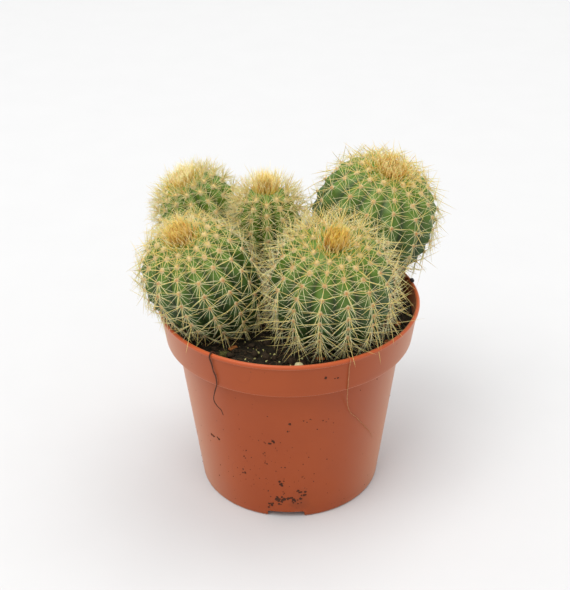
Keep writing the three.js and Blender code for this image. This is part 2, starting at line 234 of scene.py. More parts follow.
def needles(
    bases: Array,
    directions: Array,
    lengths: Array,
    widths: Array,
    bends: Array,
    marks: dict[str, Array],
    rings: int = 4,
    sides: int = 5,
) -> MeshData:
    """Tapered, slightly curved spines or hairs.

    Args:
        bases: Where each one starts.
        directions: The unit vector that each one leaves along.
        lengths: How long each one is.
        widths: How thick each one is at its base.
        bends: How far each tip is moved sideways, as a share of the length.
        marks: A value for each one, carried to all its points.
        rings: How many rings each one has before its tip.
        sides: How many sides each one has.

    Returns:
        One mesh with the marks and "along", which goes from 0 at a base to 1 at a tip.
    """
    count = len(bases)
    helper = np.where(np.abs(directions[:, 2:]) < 0.8, [[0.0, 0.0, 1.0]], [[1.0, 0.0, 0.0]])
    side = unit(np.cross(directions, helper))
    other = np.cross(directions, side)
    t = np.arange(rings) / rings
    reach = lengths[:, None, None]
    spine = (
        bases[:, None]
        + directions[:, None] * reach * t[:, None]
        + bends[:, None] * reach * (t**2)[:, None]
    )
    radius = widths[:, None] / 2 * (1 - 0.72 * t**1.3)
    angle = np.arange(sides) * 2 * math.pi / sides
    ring = (
        np.cos(angle)[:, None] * side[:, None, None] + np.sin(angle)[:, None] * other[:, None, None]
    )
    tube = spine[:, :, None] + radius[:, :, None, None] * ring
    tip = bases + (directions + bends) * lengths[:, None]
    points = np.concatenate([tube.reshape(count, -1, 3), tip[:, None]], axis=1)
    size = rings * sides + 1
    row, column = np.meshgrid(np.arange(rings - 1), np.arange(sides), indexing="ij")
    after = (column + 1) % sides
    quads = np.stack(
        [row * sides + column, row * sides + after,
         (row + 1) * sides + after, (row + 1) * sides + column],
        axis=-1,
    ).reshape(-1, 4)
    here = (rings - 1) * sides + np.arange(sides)
    next_one = (rings - 1) * sides + (np.arange(sides) + 1) % sides
    ends = np.stack([here, next_one, np.full(sides, size - 1)], axis=-1)
    starts = (np.arange(count) * size)[:, None, None]
    along = np.append(np.repeat(t, sides), 1.0)
    spread = {name: np.repeat(values, size) for name, values in marks.items()}
    spread["along"] = np.tile(along, count)
    return MeshData(
        points.reshape(-1, 3),
        (quads[None] + starts).reshape(-1, 4),
        (ends[None] + starts).reshape(-1, 3),
        spread,
    )


def ball(level: int) -> tuple[Array, Array]:
    """A unit ball of triangles.

    Args:
        level: How finely it is divided, from 1.

    Returns:
        Its points and triangles.
    """
    made = bmesh.new()
    bmesh.ops.create_icosphere(made, subdivisions=level, radius=1)
    points = np.array([vertex.co[:] for vertex in made.verts])
    triangles = np.array([[vertex.index for vertex in face.verts] for face in made.faces])
    made.free()
    return points, triangles


@dataclass
class Lumps:
    """A stock of irregular lumps to scatter."""

    rng: np.random.Generator
    level: int = 2
    roughness: float = 0.35
    kinds: int = 10

    def __post_init__(self) -> None:
        """Makes the stock."""
        ball_points, self.triangles = ball(self.level)
        self.shapes = []
        for kind in range(self.kinds):
            relief = ripple(ball_points, 0.9, kind + 3.1) + 0.4 * ripple(ball_points, 0.4, kind)
            self.shapes.append(ball_points * (1 + self.roughness * relief[:, None]))

    def scatter(self, centres: Array, sizes: Array, marks: dict[str, Array]) -> MeshData:
        """Lumps with random turns at the given places.

        Args:
            centres: Where each lump's middle is.
            sizes: The size of each along its own x, y and z.
            marks: A value for each lump, carried to all its points.

        Returns:
            One mesh with the marks.
        """
        count = len(centres)
        pick = self.rng.integers(0, self.kinds, count)
        turn = self.rng.uniform(0, 2 * math.pi, count)
        shapes = np.array(self.shapes)[pick] * (sizes / 2)[:, None]
        cos, sin = np.cos(turn)[:, None], np.sin(turn)[:, None]
        x, y = shapes[..., 0].copy(), shapes[..., 1].copy()
        shapes[..., 0], shapes[..., 1] = x * cos - y * sin, x * sin + y * cos
        size = shapes.shape[1]
        faces = self.triangles[None] + (np.arange(count) * size)[:, None, None]
        return MeshData(
            (shapes + centres[:, None]).reshape(-1, 3),
            triangles=faces.reshape(-1, 3),
            marks={name: np.repeat(values, size) for name, values in marks.items()},
        )


@dataclass
class Workshop:
    """Turns mesh data into pieces in the row frame."""

    axis_x: float

    def mesh(self, name: str, data: MeshData, sharp: float | None = None) -> bpy.types.Mesh:
        """A Blender mesh, smooth-shaded.

        Args:
            name: The mesh's name.
            data: Its points, faces and marks.
            sharp: The angle in degrees from which an edge stays crisp, or None.

        Returns:
            The mesh, in metres in the row frame.
        """
        made = bpy.data.meshes.new(name)
        points = (data.points + [self.axis_x, 0, 0]) * MM
        corners = np.concatenate([data.quads.ravel(), data.triangles.ravel()])
        starts = np.concatenate([
            np.arange(len(data.quads)) * 4,
            4 * len(data.quads) + np.arange(len(data.triangles)) * 3,
        ])
        made.vertices.add(len(points))
        made.vertices.foreach_set("co", points.astype(np.float32).ravel())
        made.loops.add(len(corners))
        made.loops.foreach_set("vertex_index", corners.astype(np.int32))
        made.polygons.add(len(starts))
        made.polygons.foreach_set("loop_start", starts.astype(np.int32))
        made.update(calc_edges=True)
        made.validate()
        made.shade_smooth()
        if sharp is not None:
            made.set_sharp_from_angle(angle=math.radians(sharp))
        for mark, values in data.marks.items():
            layer = made.attributes.new(mark, "FLOAT", "POINT")
            layer.data.foreach_set("value", np.asarray(values, np.float32))
        return made

    def place(
        self,
        made: bpy.types.Mesh,
        material: bpy.types.Material,
        slot: str,
        stands_for: tuple[str, ...] = (),
    ) -> bpy.types.Object:
        """Puts a mesh in the scene as a piece of the object.

        Args:
            made: The mesh, which gives the piece its name.
            material: Its finish.
            slot: The record's material slot that the finish belongs to; not used.
            stands_for: The CAD nodes that the piece takes the place of.

        Returns:
            The piece.
        """
        made.materials.append(material)
        piece = bpy.data.objects.new(made.name, made)
        bpy.context.scene.collection.objects.link(piece)
        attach(piece, ROOT)
        if stands_for:
            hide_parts(*stands_for)
        LOG.info("%s: %d faces", piece.name, len(made.polygons))
        return piece


# ---- Shader nodes ------------------------------------------------------------------


class Tree:
    """Short calls for the nodes that the finishes are made of."""

    def __init__(self, tree: bpy.types.NodeTree) -> None:
        """Takes an empty node tree."""
        self.tree = tree

    def node(self, kind: str, **inputs: object) -> bpy.types.Node:
        """Adds a node.

        Args:
            kind: The node's type, without the leading "ShaderNode".
            **inputs: Settings by property name, or sockets and values by input name with
                "_" for a space.

        Returns:
            The node.
        """
        made = self.tree.nodes.new("ShaderNode" + kind)
        for key, value in inputs.items():
            if hasattr(made, key) and not isinstance(value, bpy.types.NodeSocket):
                setattr(made, key, value)
            else:
                self.feed(made.inputs[key.replace("_", " ")], value)
        return made

    def feed(self, socket: Socket, value: object) -> None:
        """Links a socket into an input, or sets the input to a value."""
        if isinstance(value, bpy.types.NodeSocket):
            self.tree.links.new(value, socket)
        else:
            socket.default_value = value

    def math(self, operation: str, *values: object, clamp: bool = False) -> Socket:
        """A sum on one to three values."""
        made = self.tree.nodes.new("ShaderNodeMath")
        made.operation = operation
        made.use_clamp = clamp
        for socket, value in zip(made.inputs, values):
            self.feed(socket, value)
        return made.outputs[0]

    def mix(self, factor: object, first: object, second: object, blend: str = "MIX") -> Socket:
        """A colour between two others.

        Args:
            factor: 0 for the first, 1 for the second.
            first: A colour.
            second: A colour.
            blend: How the second is laid on the first.

        Returns:
            The colour's socket.
        """
        made = self.tree.nodes.new("ShaderNodeMix")
        made.data_type = "RGBA"
        made.blend_type = blend
        self.feed(made.inputs[0], factor)
        self.feed(made.inputs[6], first)
        self.feed(made.inputs[7], second)
        return made.outputs[2]

    def span(self, value: object, low: float, high: float, start: float = 0.0, end: float = 1.0) -> Socket:
        """A value that goes from start to end, smoothly, while the input goes from low to high."""
        made = self.tree.nodes.new("ShaderNodeMapRange")
        made.interpolation_type = "SMOOTHSTEP"
        for socket, number in zip(made.inputs, (value, low, high, start, end)):
            self.feed(socket, number)
        return made.outputs[0]

    def mark(self, name: str) -> Socket:
        """The value that a mesh carries under a name."""
        made = self.tree.nodes.new("ShaderNodeAttribute")
        made.attribute_name = name
        return made.outputs["Fac"]

    def place(self) -> Socket:
        """The point's place on the object, in metres."""
        return self.tree.nodes.new("ShaderNodeTexCoord").outputs["Object"]

    def grain(self, place: object, scale: object, detail: float = 3.0, roughness: float = 0.5) -> Socket:
        """Random values from 0 to 1.

        Args:
            place: The point's place.
            scale: How many grains there are to a metre.
            detail: How many finer layers it has.
            roughness: How strong the finer layers are.

        Returns:
            The value's socket.
        """
        made = self.node("TexNoise", Scale=scale, Detail=detail, Roughness=roughness)
        self.feed(made.inputs["Vector"], place)
        return made.outputs["Fac"]

    def bump(self, height: object, strength: float, distance: float, normal: object = None) -> Socket:
        """A normal that shows relief.

        Args:
            height: The relief, from 0 to 1.
            strength: How much of it shows.
            distance: Its height in metres.
            normal: Coarser relief under it, or None.

        Returns:
            The normal's socket.
        """
        made = self.node("Bump", Strength=strength, Distance=distance)
        self.feed(made.inputs["Height"], height)
        if normal is not None:
            self.feed(made.inputs["Normal"], normal)
        return made.outputs["Normal"]

    def group(self, tree: bpy.types.NodeTree, **inputs: object) -> bpy.types.Node:
        """Places a shared effect, with its inputs by name."""
        made = self.tree.nodes.new("ShaderNodeGroup")
        made.node_tree = tree
        for key, value in inputs.items():
            self.feed(made.inputs[key.replace("_", " ")], value)
        return made


class Effect(Enum):
    """The shared effects."""

    SPECKLE = "speckle"
    MOTTLE = "mottle"
    SCUFF = "scuff"
    FIBRE = "fibre"


class Effects:
    """Shader node groups that more than one finish uses, each built once."""

    def __init__(self) -> None:
        """Starts with none built."""
        self.built: dict[Effect, bpy.types.NodeTree] = {}

    def get(self, effect: Effect) -> bpy.types.NodeTree:
        """A shared effect's node group, built when it is first asked for."""
        if effect not in self.built:
            build = {
                Effect.SPECKLE: self.speckle,
                Effect.MOTTLE: self.mottle,
                Effect.SCUFF: self.scuff,
                Effect.FIBRE: self.fibre,
            }[effect]
            self.built[effect] = build()
        return self.built[effect]

    @staticmethod
    def start(name: str, inputs: dict[str, float], outputs: list[str]) -> tuple[Tree, object, object]:
        """An empty group with its sockets.

        Args:
            name: The group's name.
            inputs: Number inputs and their usual values.
            outputs: The names of its number outputs.

        Returns:
            The tree, and the nodes that hold the group's inputs and outputs.
        """
        made = bpy.data.node_groups.new(name, "ShaderNodeTree")
        for key, value in inputs.items():
            socket = made.interface.new_socket(key, in_out="INPUT", socket_type="NodeSocketFloat")
            socket.default_value = value
        for key in outputs:
            made.interface.new_socket(key, in_out="OUTPUT", socket_type="NodeSocketFloat")
        return Tree(made), made.nodes.new("NodeGroupInput"), made.nodes.new("NodeGroupOutput")

    def speckle(self) -> bpy.types.NodeTree:
        """Small round dots. Amount is the share of cells that hold one."""
        tree, given, out = self.start("speckle", {"Scale": 2000.0, "Amount": 0.5, "Size": 0.3}, ["Mask"])
        cells = tree.node("TexVoronoi", feature="F1")
        tree.feed(cells.inputs["Vector"], tree.place())
        tree.feed(cells.inputs["Scale"], given.outputs["Scale"])
        picked = tree.node("SeparateColor")
        tree.feed(picked.inputs[0], cells.outputs["Color"])
        dot = tree.math("LESS_THAN", cells.outputs["Distance"], given.outputs["Size"])
        chosen = tree.math("LESS_THAN", picked.outputs[0], given.outputs["Amount"])
        tree.feed(out.inputs["Mask"], tree.math("MULTIPLY", dot, chosen))
        return tree.tree

    def mottle(self) -> bpy.types.NodeTree:
        """Soft patches. Contrast 1 goes from 0 to 1, and less stays nearer to the middle."""
        tree, given, out = self.start("mottle", {"Scale": 100.0, "Contrast": 1.0}, ["Value"])
        value = tree.grain(tree.place(), given.outputs["Scale"], 4.0, 0.55)
        centred = tree.math("SUBTRACT", value, 0.5)
        wider = tree.math("MULTIPLY", centred, 2.4)
        scaled = tree.math("MULTIPLY", wider, given.outputs["Contrast"])
        tree.feed(out.inputs["Value"], tree.math("ADD", scaled, 0.5, clamp=True))
        return tree.tree

    def scuff(self) -> bpy.types.NodeTree:
        """Thin, broken scratches. Amount is how many of them show."""
        tree, given, out = self.start("scuff", {"Scale": 60.0, "Amount": 0.5}, ["Mask"])
        turned = tree.node("Mapping", Rotation=(0.4, 0.9, 0.5), Scale=(1.0, 6.0, 1.6))
        tree.feed(turned.inputs["Vector"], tree.place())
        wave = tree.grain(turned.outputs[0], given.outputs["Scale"], 1.0, 0.4)
        line = tree.math("ABSOLUTE", tree.math("SUBTRACT", wave, 0.5))
        thin = tree.span(line, 0.0, 0.006, 1.0, 0.0)
        broken = tree.grain(tree.place(), 45.0, 1.0, 0.5)
        shown = tree.span(tree.math("ADD", broken, given.outputs["Amount"]), 1.02, 1.12)
        tree.feed(out.inputs["Mask"], tree.math("MULTIPLY", thin, shown))
        return tree.tree

    def fibre(self) -> bpy.types.NodeTree:
        """Fine streaks that run in all directions, as on wool or peat."""
        tree, given, out = self.start("fibre", {"Scale": 900.0, "Stretch": 5.0}, ["Value"])
        streaks = []
        for turn in ((0.3, 0.2, 0.1), (1.2, 0.4, 1.9), (0.5, 1.4, 0.9)):
            turned = tree.node("Mapping", Rotation=turn)
            tree.feed(turned.inputs["Vector"], tree.place())
            scale = tree.node("CombineXYZ", X=1.0, Z=1.0)
            tree.feed(scale.inputs["Y"], given.outputs["Stretch"])
            tree.feed(turned.inputs["Scale"], scale.outputs[0])
            streaks.append(tree.grain(turned.outputs[0], given.outputs["Scale"], 2.0, 0.6))
        strongest = tree.math("MAXIMUM", tree.math("MAXIMUM", streaks[0], streaks[1]), streaks[2])
        tree.feed(out.inputs["Value"], tree.span(strongest, 0.45, 0.75))
        return tree.tree


@dataclass(frozen=True)
class Finish:
    """What every finish shares: its name and its own gloss."""

    name: str
    roughness: float = 0.6
    specular: float = 0.5

    def start(self) -> tuple[Tree, bpy.types.Material, bpy.types.Node]:
        """A new material with its shader.

        Returns:
            The node tree, the material and its Principled shader.
        """
        material = bpy.data.materials.new(self.name)
        material.use_nodes = True
        shader = material.node_tree.nodes["Principled BSDF"]
        shader.inputs["Roughness"].default_value = self.roughness
        shader.inputs["Specular IOR Level"].default_value = self.specular
        return Tree(material.node_tree), material, shader


@dataclass(frozen=True)
class PlasticFinish(Finish):
    """Satin moulded plastic with peat dust, smudges and fine scratches, a painted sheen that pales the wall
    where it is seen aslant, and a painted highlight along the rolled lip and the collar's lower edge.
    """

    name: str = "terracotta_plastic"
    roughness: float = 0.36
    specular: float = 0.32
    colour: str = "A54A1B"
    # the colour of the painted highlight on the rolled lip and the collar's lower edge
    pale: str = "B65226"
    deep: str = "994218"
    dust: str = "4A2C1C"
    scratch: str = "7C2F1C"
    # the pale colour of the painted sheen where the wall is seen aslant
    painted_highlight: str = "D69D78"

    def build(self, effects: Effects) -> bpy.types.Material:
        """Makes the material."""
        tree, material, shader = self.start()
        patches = tree.group(effects.get(Effect.MOTTLE), Scale=24.0, Contrast=0.8).outputs[0]
        colour = tree.mix(patches, linear(self.deep), linear(self.colour))
        # painted highlight: the lip mark pales the rolled lip and the collar's lower edge
        painted_lip_highlight = tree.mark("lip")
        colour = tree.mix(painted_lip_highlight, colour, linear(self.pale))
        scratches = tree.group(effects.get(Effect.SCUFF), Scale=16.0, Amount=0.36).outputs[0]
        colour = tree.mix(tree.math("MULTIPLY", scratches, 0.28), colour, linear(self.scratch))
        dots = tree.group(effects.get(Effect.SPECKLE), Scale=420.0, Amount=0.05, Size=0.13).outputs[0]
        clouds = tree.group(effects.get(Effect.MOTTLE), Scale=55.0, Contrast=1.3).outputs[0]
        grime = tree.math("MULTIPLY", tree.mark("grime"), tree.span(clouds, 0.45, 1.0))
        dirt = tree.math("MAXIMUM", tree.math("MULTIPLY", dots, 0.5), tree.math("MULTIPLY", grime, 0.55))
        colour = tree.mix(dirt, colour, linear(self.dust))
        # painted sheen: the wall's colour is paled where it is seen aslant, as if lit by the white
        # surroundings
        slant = tree.node("LayerWeight", Blend=0.5).outputs["Facing"]
        colour = tree.mix(tree.span(slant, 0.35, 1.0, 0.0, 0.6), colour, linear(self.painted_highlight))
        tree.feed(shader.inputs["Base Color"], colour)
        fine = tree.grain(tree.place(), 1500.0, 3.0, 0.6)
        rough = tree.math("ADD", tree.math("MULTIPLY", patches, 0.08), self.roughness)
        tree.feed(shader.inputs["Roughness"], tree.math("ADD", rough, tree.math("MULTIPLY", dirt, 0.35)))
        drawn = tree.bump(scratches, 0.15, 0.0001)
        tree.feed(shader.inputs["Normal"], tree.bump(fine, 0.06, 0.0001, drawn))
        return material


@dataclass(frozen=True)
class SkinFinish(Finish):
    """Waxy green skin: brighter near the crown, with painted shade darkening the furrows and a painted
    highlight lightening the tubercles round each cushion, finely speckled.
    """

    name: str = "cactus_skin"
    roughness: float = 0.5
    young: str = "64861E"
    middle: str = "294812"
    old: str = "4C5A32"
    # the dark green of the painted shade in the furrows
    furrow_shade: str = "0D1E08"
    # the lighter green of the painted highlight on the tubercles
    painted_highlight: str = "54742A"
    speck: str = "7C9A52"

    def build(self, effects: Effects) -> bpy.types.Material:
        """Makes the material."""
        tree, material, shader = self.start()
        age = tree.mark("age")
        colour = tree.mix(tree.span(age, 0.08, 0.6), linear(self.young), linear(self.middle))
        colour = tree.mix(tree.span(age, 0.82, 1.02), colour, linear(self.old))
        patches = tree.group(effects.get(Effect.MOTTLE), Scale=160.0, Contrast=1.0).outputs[0]
        # painted highlight: the tubercle tops round each cushion are lightened in patches
        near = tree.math("MULTIPLY", tree.mark("cushion"), tree.math("MULTIPLY", patches, 0.6))
        colour = tree.mix(near, colour, linear(self.painted_highlight))
        # painted shade: the furrows between the ribs are darkened
        deep = tree.math("MULTIPLY", tree.mark("furrow_shade"), 0.8)
        colour = tree.mix(deep, colour, linear(self.furrow_shade))
        specks = tree.group(effects.get(Effect.SPECKLE), Scale=2300.0, Amount=0.5, Size=0.24).outputs[0]
        colour = tree.mix(tree.math("MULTIPLY", specks, 0.3), colour, linear(self.speck))
        tree.feed(shader.inputs["Base Color"], colour)
        pores = tree.grain(tree.place(), 1800.0, 3.0, 0.6)
        swells = tree.grain(tree.place(), 260.0, 2.0, 0.5)
        rough = tree.math("ADD", tree.math("MULTIPLY", pores, 0.2), self.roughness - 0.1)
        tree.feed(shader.inputs["Roughness"], rough)
        broad = tree.bump(swells, 0.3, 0.0006)
        tree.feed(shader.inputs["Normal"], tree.bump(pores, 0.25, 0.0002, broad))
        shader.inputs["Subsurface Weight"].default_value = 0.08
        shader.inputs["Subsurface Radius"].default_value = (0.6, 1.0, 0.25)
        shader.inputs["Subsurface Scale"].default_value = 0.0015
        return material


@dataclass(frozen=True)
class WoolFinish(Finish):
    """The felt of a spine cushion: cream when young, with an orange-brown heart when older."""

    name: str = "cushion_wool"
    roughness: float = 0.9
    specular: float = 0.2
    cream: str = "EADBA8"
    tan: str = "D2B98A"
    heart: str = "C88C50"
    young_heart: str = "E8CB86"

    def build(self, effects: Effects) -> bpy.types.Material:
        """Makes the material."""
        tree, material, shader = self.start()
        age = tree.mark("age")
        wool = tree.mix(tree.span(age, 0.05, 0.7), linear(self.cream), linear(self.tan))
        heart = tree.mix(tree.span(age, 0.04, 0.3), linear(self.young_heart), linear(self.heart))
        strands = tree.group(effects.get(Effect.FIBRE), Scale=1500.0, Stretch=5.0).outputs[0]
        middle = tree.span(tree.mark("heart"), 0.45, 0.95)
        colour = tree.mix(middle, wool, heart)
        colour = tree.mix(tree.math("MULTIPLY", strands, 0.25), colour, linear(self.cream))
        tree.feed(shader.inputs["Base Color"], colour)
        tree.feed(shader.inputs["Roughness"], tree.math("ADD", tree.math("MULTIPLY", strands, 0.1), 0.82))
        tree.feed(shader.inputs["Normal"], tree.bump(strands, 0.5, 0.0003))
        shader.inputs["Sheen Weight"].default_value = 0.25
        return material


@dataclass(frozen=True)
class SpineFinish(Finish):
    """Dry spines: cream-grey on the sides, straw in the middle ones, golden at the crown."""

    name: str = "spine"
    roughness: float = 0.45
    pale: str = "DFD6A4"
    straw: str = "DEC878"
    golden: str = "DAB94C"
    aged: str = "C2AB80"
    tip: str = "B98E4C"
    foot: str = "C98B45"

    def build(self, effects: Effects) -> bpy.types.Material:
        """Makes the material."""
        tree, material, shader = self.start()
        along = tree.mark("along")
        colour = tree.mix(tree.mark("central"), linear(self.pale), linear(self.straw))
        colour = tree.mix(tree.mark("gold"), colour, linear(self.golden))
        colour = tree.mix(tree.mark("aged"), colour, linear(self.aged))
        colour = tree.mix(tree.span(along, 0.0, 0.16, 0.7, 0.0), colour, linear(self.foot))
        colour = tree.mix(tree.span(along, 0.8, 1.0, 0.0, 0.5), colour, linear(self.tip))
        streaks = tree.group(effects.get(Effect.FIBRE), Scale=1600.0, Stretch=3.0).outputs[0]
        colour = tree.mix(tree.math("MULTIPLY", streaks, 0.15), colour, linear(self.pale))
        tree.feed(shader.inputs["Base Color"], colour)
        rough = tree.math("ADD", tree.math("MULTIPLY", streaks, 0.15), self.roughness)
        tree.feed(shader.inputs["Roughness"], rough)
        shader.inputs["Subsurface Weight"].default_value = 0.15
        shader.inputs["Subsurface Scale"].default_value = 0.0008
        return material


@dataclass(frozen=True)
class BristleFinish(Finish):
    """The crown's brush: brown-amber at the foot, golden above, pale at the tips."""

    name: str = "crown_bristle"
    roughness: float = 0.5
    foot: str = "9C6A0A"
    amber: str = "CF9616"
    golden: str = "EBC244"
    pale: str = "FBEFB8"

    def build(self, effects: Effects) -> bpy.types.Material:
        """Makes the material."""
        tree, material, shader = self.start()
        along = tree.mark("along")
        core = tree.mix(tree.span(along, 0.0, 0.35), linear(self.foot), linear(self.amber))
        core = tree.mix(tree.span(along, 0.4, 1.0), core, linear(self.golden))
        outer = tree.mix(tree.span(along, 0.1, 1.0), linear(self.golden), linear(self.pale))
        colour = tree.mix(tree.mark("outer"), core, outer)
        streaks = tree.group(effects.get(Effect.FIBRE), Scale=1400.0, Stretch=3.0).outputs[0]
        colour = tree.mix(tree.math("MULTIPLY", streaks, 0.15), colour, linear(self.pale))
        tree.feed(shader.inputs["Base Color"], colour)
        rough = tree.math("ADD", tree.math("MULTIPLY", streaks, 0.12), self.roughness)
        tree.feed(shader.inputs["Roughness"], rough)
        shader.inputs["Subsurface Weight"].default_value = 0.3
        shader.inputs["Subsurface Scale"].default_value = 0.0015
        return material


@dataclass(frozen=True)
class GrainFinish(Finish):
    """A dry, rough thing of two colours: peat, bark, stone, moss or root."""

    first: str = "241C15"
    second: str = "3B2E22"
    speck: str = "5A4632"
    scale: float = 300.0
    specks: float = 0.2
    relief: float = 0.6
    height: float = 0.0005

    def build(self, effects: Effects) -> bpy.types.Material:
        """Makes the material."""
        tree, material, shader = self.start()
        patches = tree.group(effects.get(Effect.MOTTLE), Scale=self.scale, Contrast=1.2).outputs[0]
        colour = tree.mix(patches, linear(self.first), linear(self.second))
        strands = tree.group(effects.get(Effect.FIBRE), Scale=2.5 * self.scale, Stretch=4.0).outputs[0]
        colour = tree.mix(tree.math("MULTIPLY", strands, self.specks), colour, linear(self.speck))
        tree.feed(shader.inputs["Base Color"], colour)
        rough = tree.math("ADD", tree.math("MULTIPLY", strands, -0.12), self.roughness)
        tree.feed(shader.inputs["Roughness"], rough)
        coarse = tree.bump(patches, self.relief, self.height)
        tree.feed(shader.inputs["Normal"], tree.bump(strands, 0.6 * self.relief, 0.4 * self.height, coarse))
        return material


# ---- Pot ---------------------------------------------------------------------------


@dataclass
class NurseryPot:
    """The tapered shell with its collar, rolled lip, foot ring and drain holes."""

    finish: PlasticFinish = field(default_factory=PlasticFinish)
    collar_height: float = 17.4
    collar_foot_radius: float = 57.0
    body_top_radius: float = 52.2
    foot_radius: float = 42.6
    wall: float = 1.2
    lip_radius: float = 0.9
    foot_width: float = 3.2
    floor_recess: float = 3.3
    notch_width: float = 17.2
    notch_height: float = 3.2
    notch_corner: float = 1.1
    notch_angles: tuple[float, ...] = (-93.0, 27.0, 147.0)
    drain_radius: float = 3.0
    drain_circle: float = 25.0
    drain_count: int = 6
    columns: int = 240
    grime_angle: float = -92.0

    def __post_init__(self) -> None:
        """Takes the pot's axis, height and rim from its solid."""
        low, high = (np.array(corner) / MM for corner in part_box("pot"))
        self.axis_x = (low[0] + high[0]) / 2
        self.height = high[2]
        self.rim_radius = (high[1] - low[1]) / 2
        self.shelf = self.height - self.collar_height
        self.floor_top = self.floor_recess + self.wall

    def outside(self, z: Array | float) -> Array:
        """The outside radius at a height, without the lip."""
        body = self.foot_radius + (self.body_top_radius - self.foot_radius) * z / self.shelf
        flare = self.rim_radius - self.lip_radius / 2 - self.collar_foot_radius
        collar = self.collar_foot_radius + flare * (z - self.shelf) / self.collar_height
        return np.where(np.asarray(z) < self.shelf, body, collar)

    def profile(self) -> Array:
        """The shell's section: under the floor, up the outside, over the lip, down inside."""
        wall, lip = self.wall, self.lip_radius
        foot_inner = self.foot_radius - self.foot_width
        lip_foot = self.height - 2.4 * lip
        shelf_top = self.shelf + wall
        outside = rounded([
            (0, self.floor_recess, 0),
            (foot_inner, self.floor_recess, 0.6),
            (foot_inner, 0, 0.5),
            (float(self.outside(0)), 0, 1.3),
            (self.body_top_radius, self.shelf, 0.7),
            (self.collar_foot_radius, self.shelf, 0.75),
            (float(self.outside(lip_foot)), lip_foot, 0.3),
            (self.rim_radius - 0.12, lip_foot + 0.5, 0.2),
        ])
        turn = np.radians(np.linspace(-25, 190, 14))
        centre = np.array([self.rim_radius - lip, self.height - lip])
        rolled = centre + lip * np.stack([np.cos(turn), np.sin(turn)], axis=-1)
        inside = rounded([
            (float(self.outside(lip_foot)) - wall, lip_foot - 0.4, 0),
            (float(self.outside(shelf_top)) - wall, shelf_top, 1.0),
            (self.body_top_radius - wall, shelf_top, 0.6),
            (float(self.outside(self.floor_top)) - wall, self.floor_top, 2.0),
            (0, self.floor_top, 0),
        ])
        outline = np.concatenate([outside, rolled, inside])
        return self.divided(outline, 2.4)

    @staticmethod
    def divided(outline: Array, longest: float) -> Array:
        """An outline whose long runs off the axis are cut into shorter ones."""
        points = [outline[0]]
        for before, after in zip(outline[:-1], outline[1:]):
            count = max(1, math.ceil(np.linalg.norm(after - before) / longest))
            for i in range(1, count + 1):
                points.append(before + (after - before) * i / count)
        return np.array(points)

    def cutters(self, shop: Workshop) -> list[bpy.types.Object]:
        """The solids that cut the notches and the drain holes.

        Args:
            shop: Where the meshes are made.

        Returns:
            One object for each cut.
        """
        cuts = []
        half, corner = self.notch_width / 2, self.notch_corner
        turn = np.radians(np.linspace(0, 90, 6))
        right = np.stack([half - corner + corner * np.cos(turn),
                          self.notch_height - corner + corner * np.sin(turn)], axis=-1)
        left = right[::-1] * [-1, 1]
        outline = np.concatenate([[[-half, -1], [half, -1]], right, left])
        for degrees in self.notch_angles:
            cuts.append(self.prism(outline, degrees))
        for i in range(self.drain_count):
            angle = i * 2 * math.pi / self.drain_count
            round_off = np.array([[0, 0], [self.drain_radius, 0],
                                  [self.drain_radius, self.floor_top + 1], [0, self.floor_top + 1]])
            hole = lathe(round_off, 40)
            hole.points += [self.drain_circle * math.cos(angle), self.drain_circle * math.sin(angle), 0]
            cuts.append(bpy.data.objects.new("cut", shop.mesh("cut", hole)))
        return cuts

    def prism(self, outline: Array, degrees: float) -> bpy.types.Object:
        """A straight cutter through the foot ring.

        Args:
            outline: The cut's outline, sideways and up.
            degrees: Where it is round the pot, from +X.

        Returns:
            The cutter.
        """
        angle = math.radians(degrees)
        out = np.array([math.cos(angle), math.sin(angle), 0])
        side = np.array([-math.sin(angle), math.cos(angle), 0])
        ends = []
        for reach in (self.foot_radius - self.foot_width - 4, self.foot_radius + 2):
            ends.append(out * reach + outline[:, :1] * side + outline[:, 1:] * [[0, 0, 1]])
        made = bmesh.new()
        near, far = (
            [made.verts.new((point + [self.axis_x, 0, 0]) * MM) for point in end] for end in ends
        )
        made.faces.new(near[::-1])
        made.faces.new(far)
        for i in range(len(near)):
            j = (i + 1) % len(near)
            made.faces.new([near[i], near[j], far[j], far[i]])
        bmesh.ops.recalc_face_normals(made, faces=made.faces)
        mesh = bpy.data.meshes.new("cut")
        made.to_mesh(mesh)
        made.free()
        return bpy.data.objects.new("cut", mesh)

    def build(self, shop: Workshop, effects: Effects) -> bpy.types.Object:
        """Makes the pot.

        Args:
            shop: Where the pieces are made.
            effects: The shared shader effects.

        Returns:
            The pot.
        """
        data = lathe(self.profile(), self.columns)
        shell = bpy.data.objects.new("shell", shop.mesh("shell", data))
        bpy.context.scene.collection.objects.link(shell)
        cuts = self.cutters(shop)
        for cut in cuts:
            bpy.context.scene.collection.objects.link(cut)
            carve = shell.modifiers.new("cut", "BOOLEAN")
            carve.object = cut
            carve.solver = "EXACT"
        solved = shell.evaluated_get(bpy.context.evaluated_depsgraph_get())
        mesh = bpy.data.meshes.new_from_object(solved)
        mesh.name = "nursery_pot"
        for spare in (shell, *cuts):
            bpy.data.objects.remove(spare)
        mesh.shade_smooth()
        mesh.set_sharp_from_angle(angle=math.radians(38))
        self.mark(mesh)
        mesh.materials.clear()
        return shop.place(mesh, self.finish.build(effects), "pot_plastic", ("pot",))

    def mark(self, mesh: bpy.types.Mesh) -> None:
        """Marks the painted highlight along the rolled lip and the collar's lower edge, and where peat has
        smudged the wall.
        """
        points = np.zeros(len(mesh.vertices) * 3, np.float32)
        mesh.vertices.foreach_get("co", points)
        points = points.reshape(-1, 3) / MM - [self.axis_x, 0, 0]
        z = points[:, 2]
        radius = np.hypot(points[:, 0], points[:, 1])
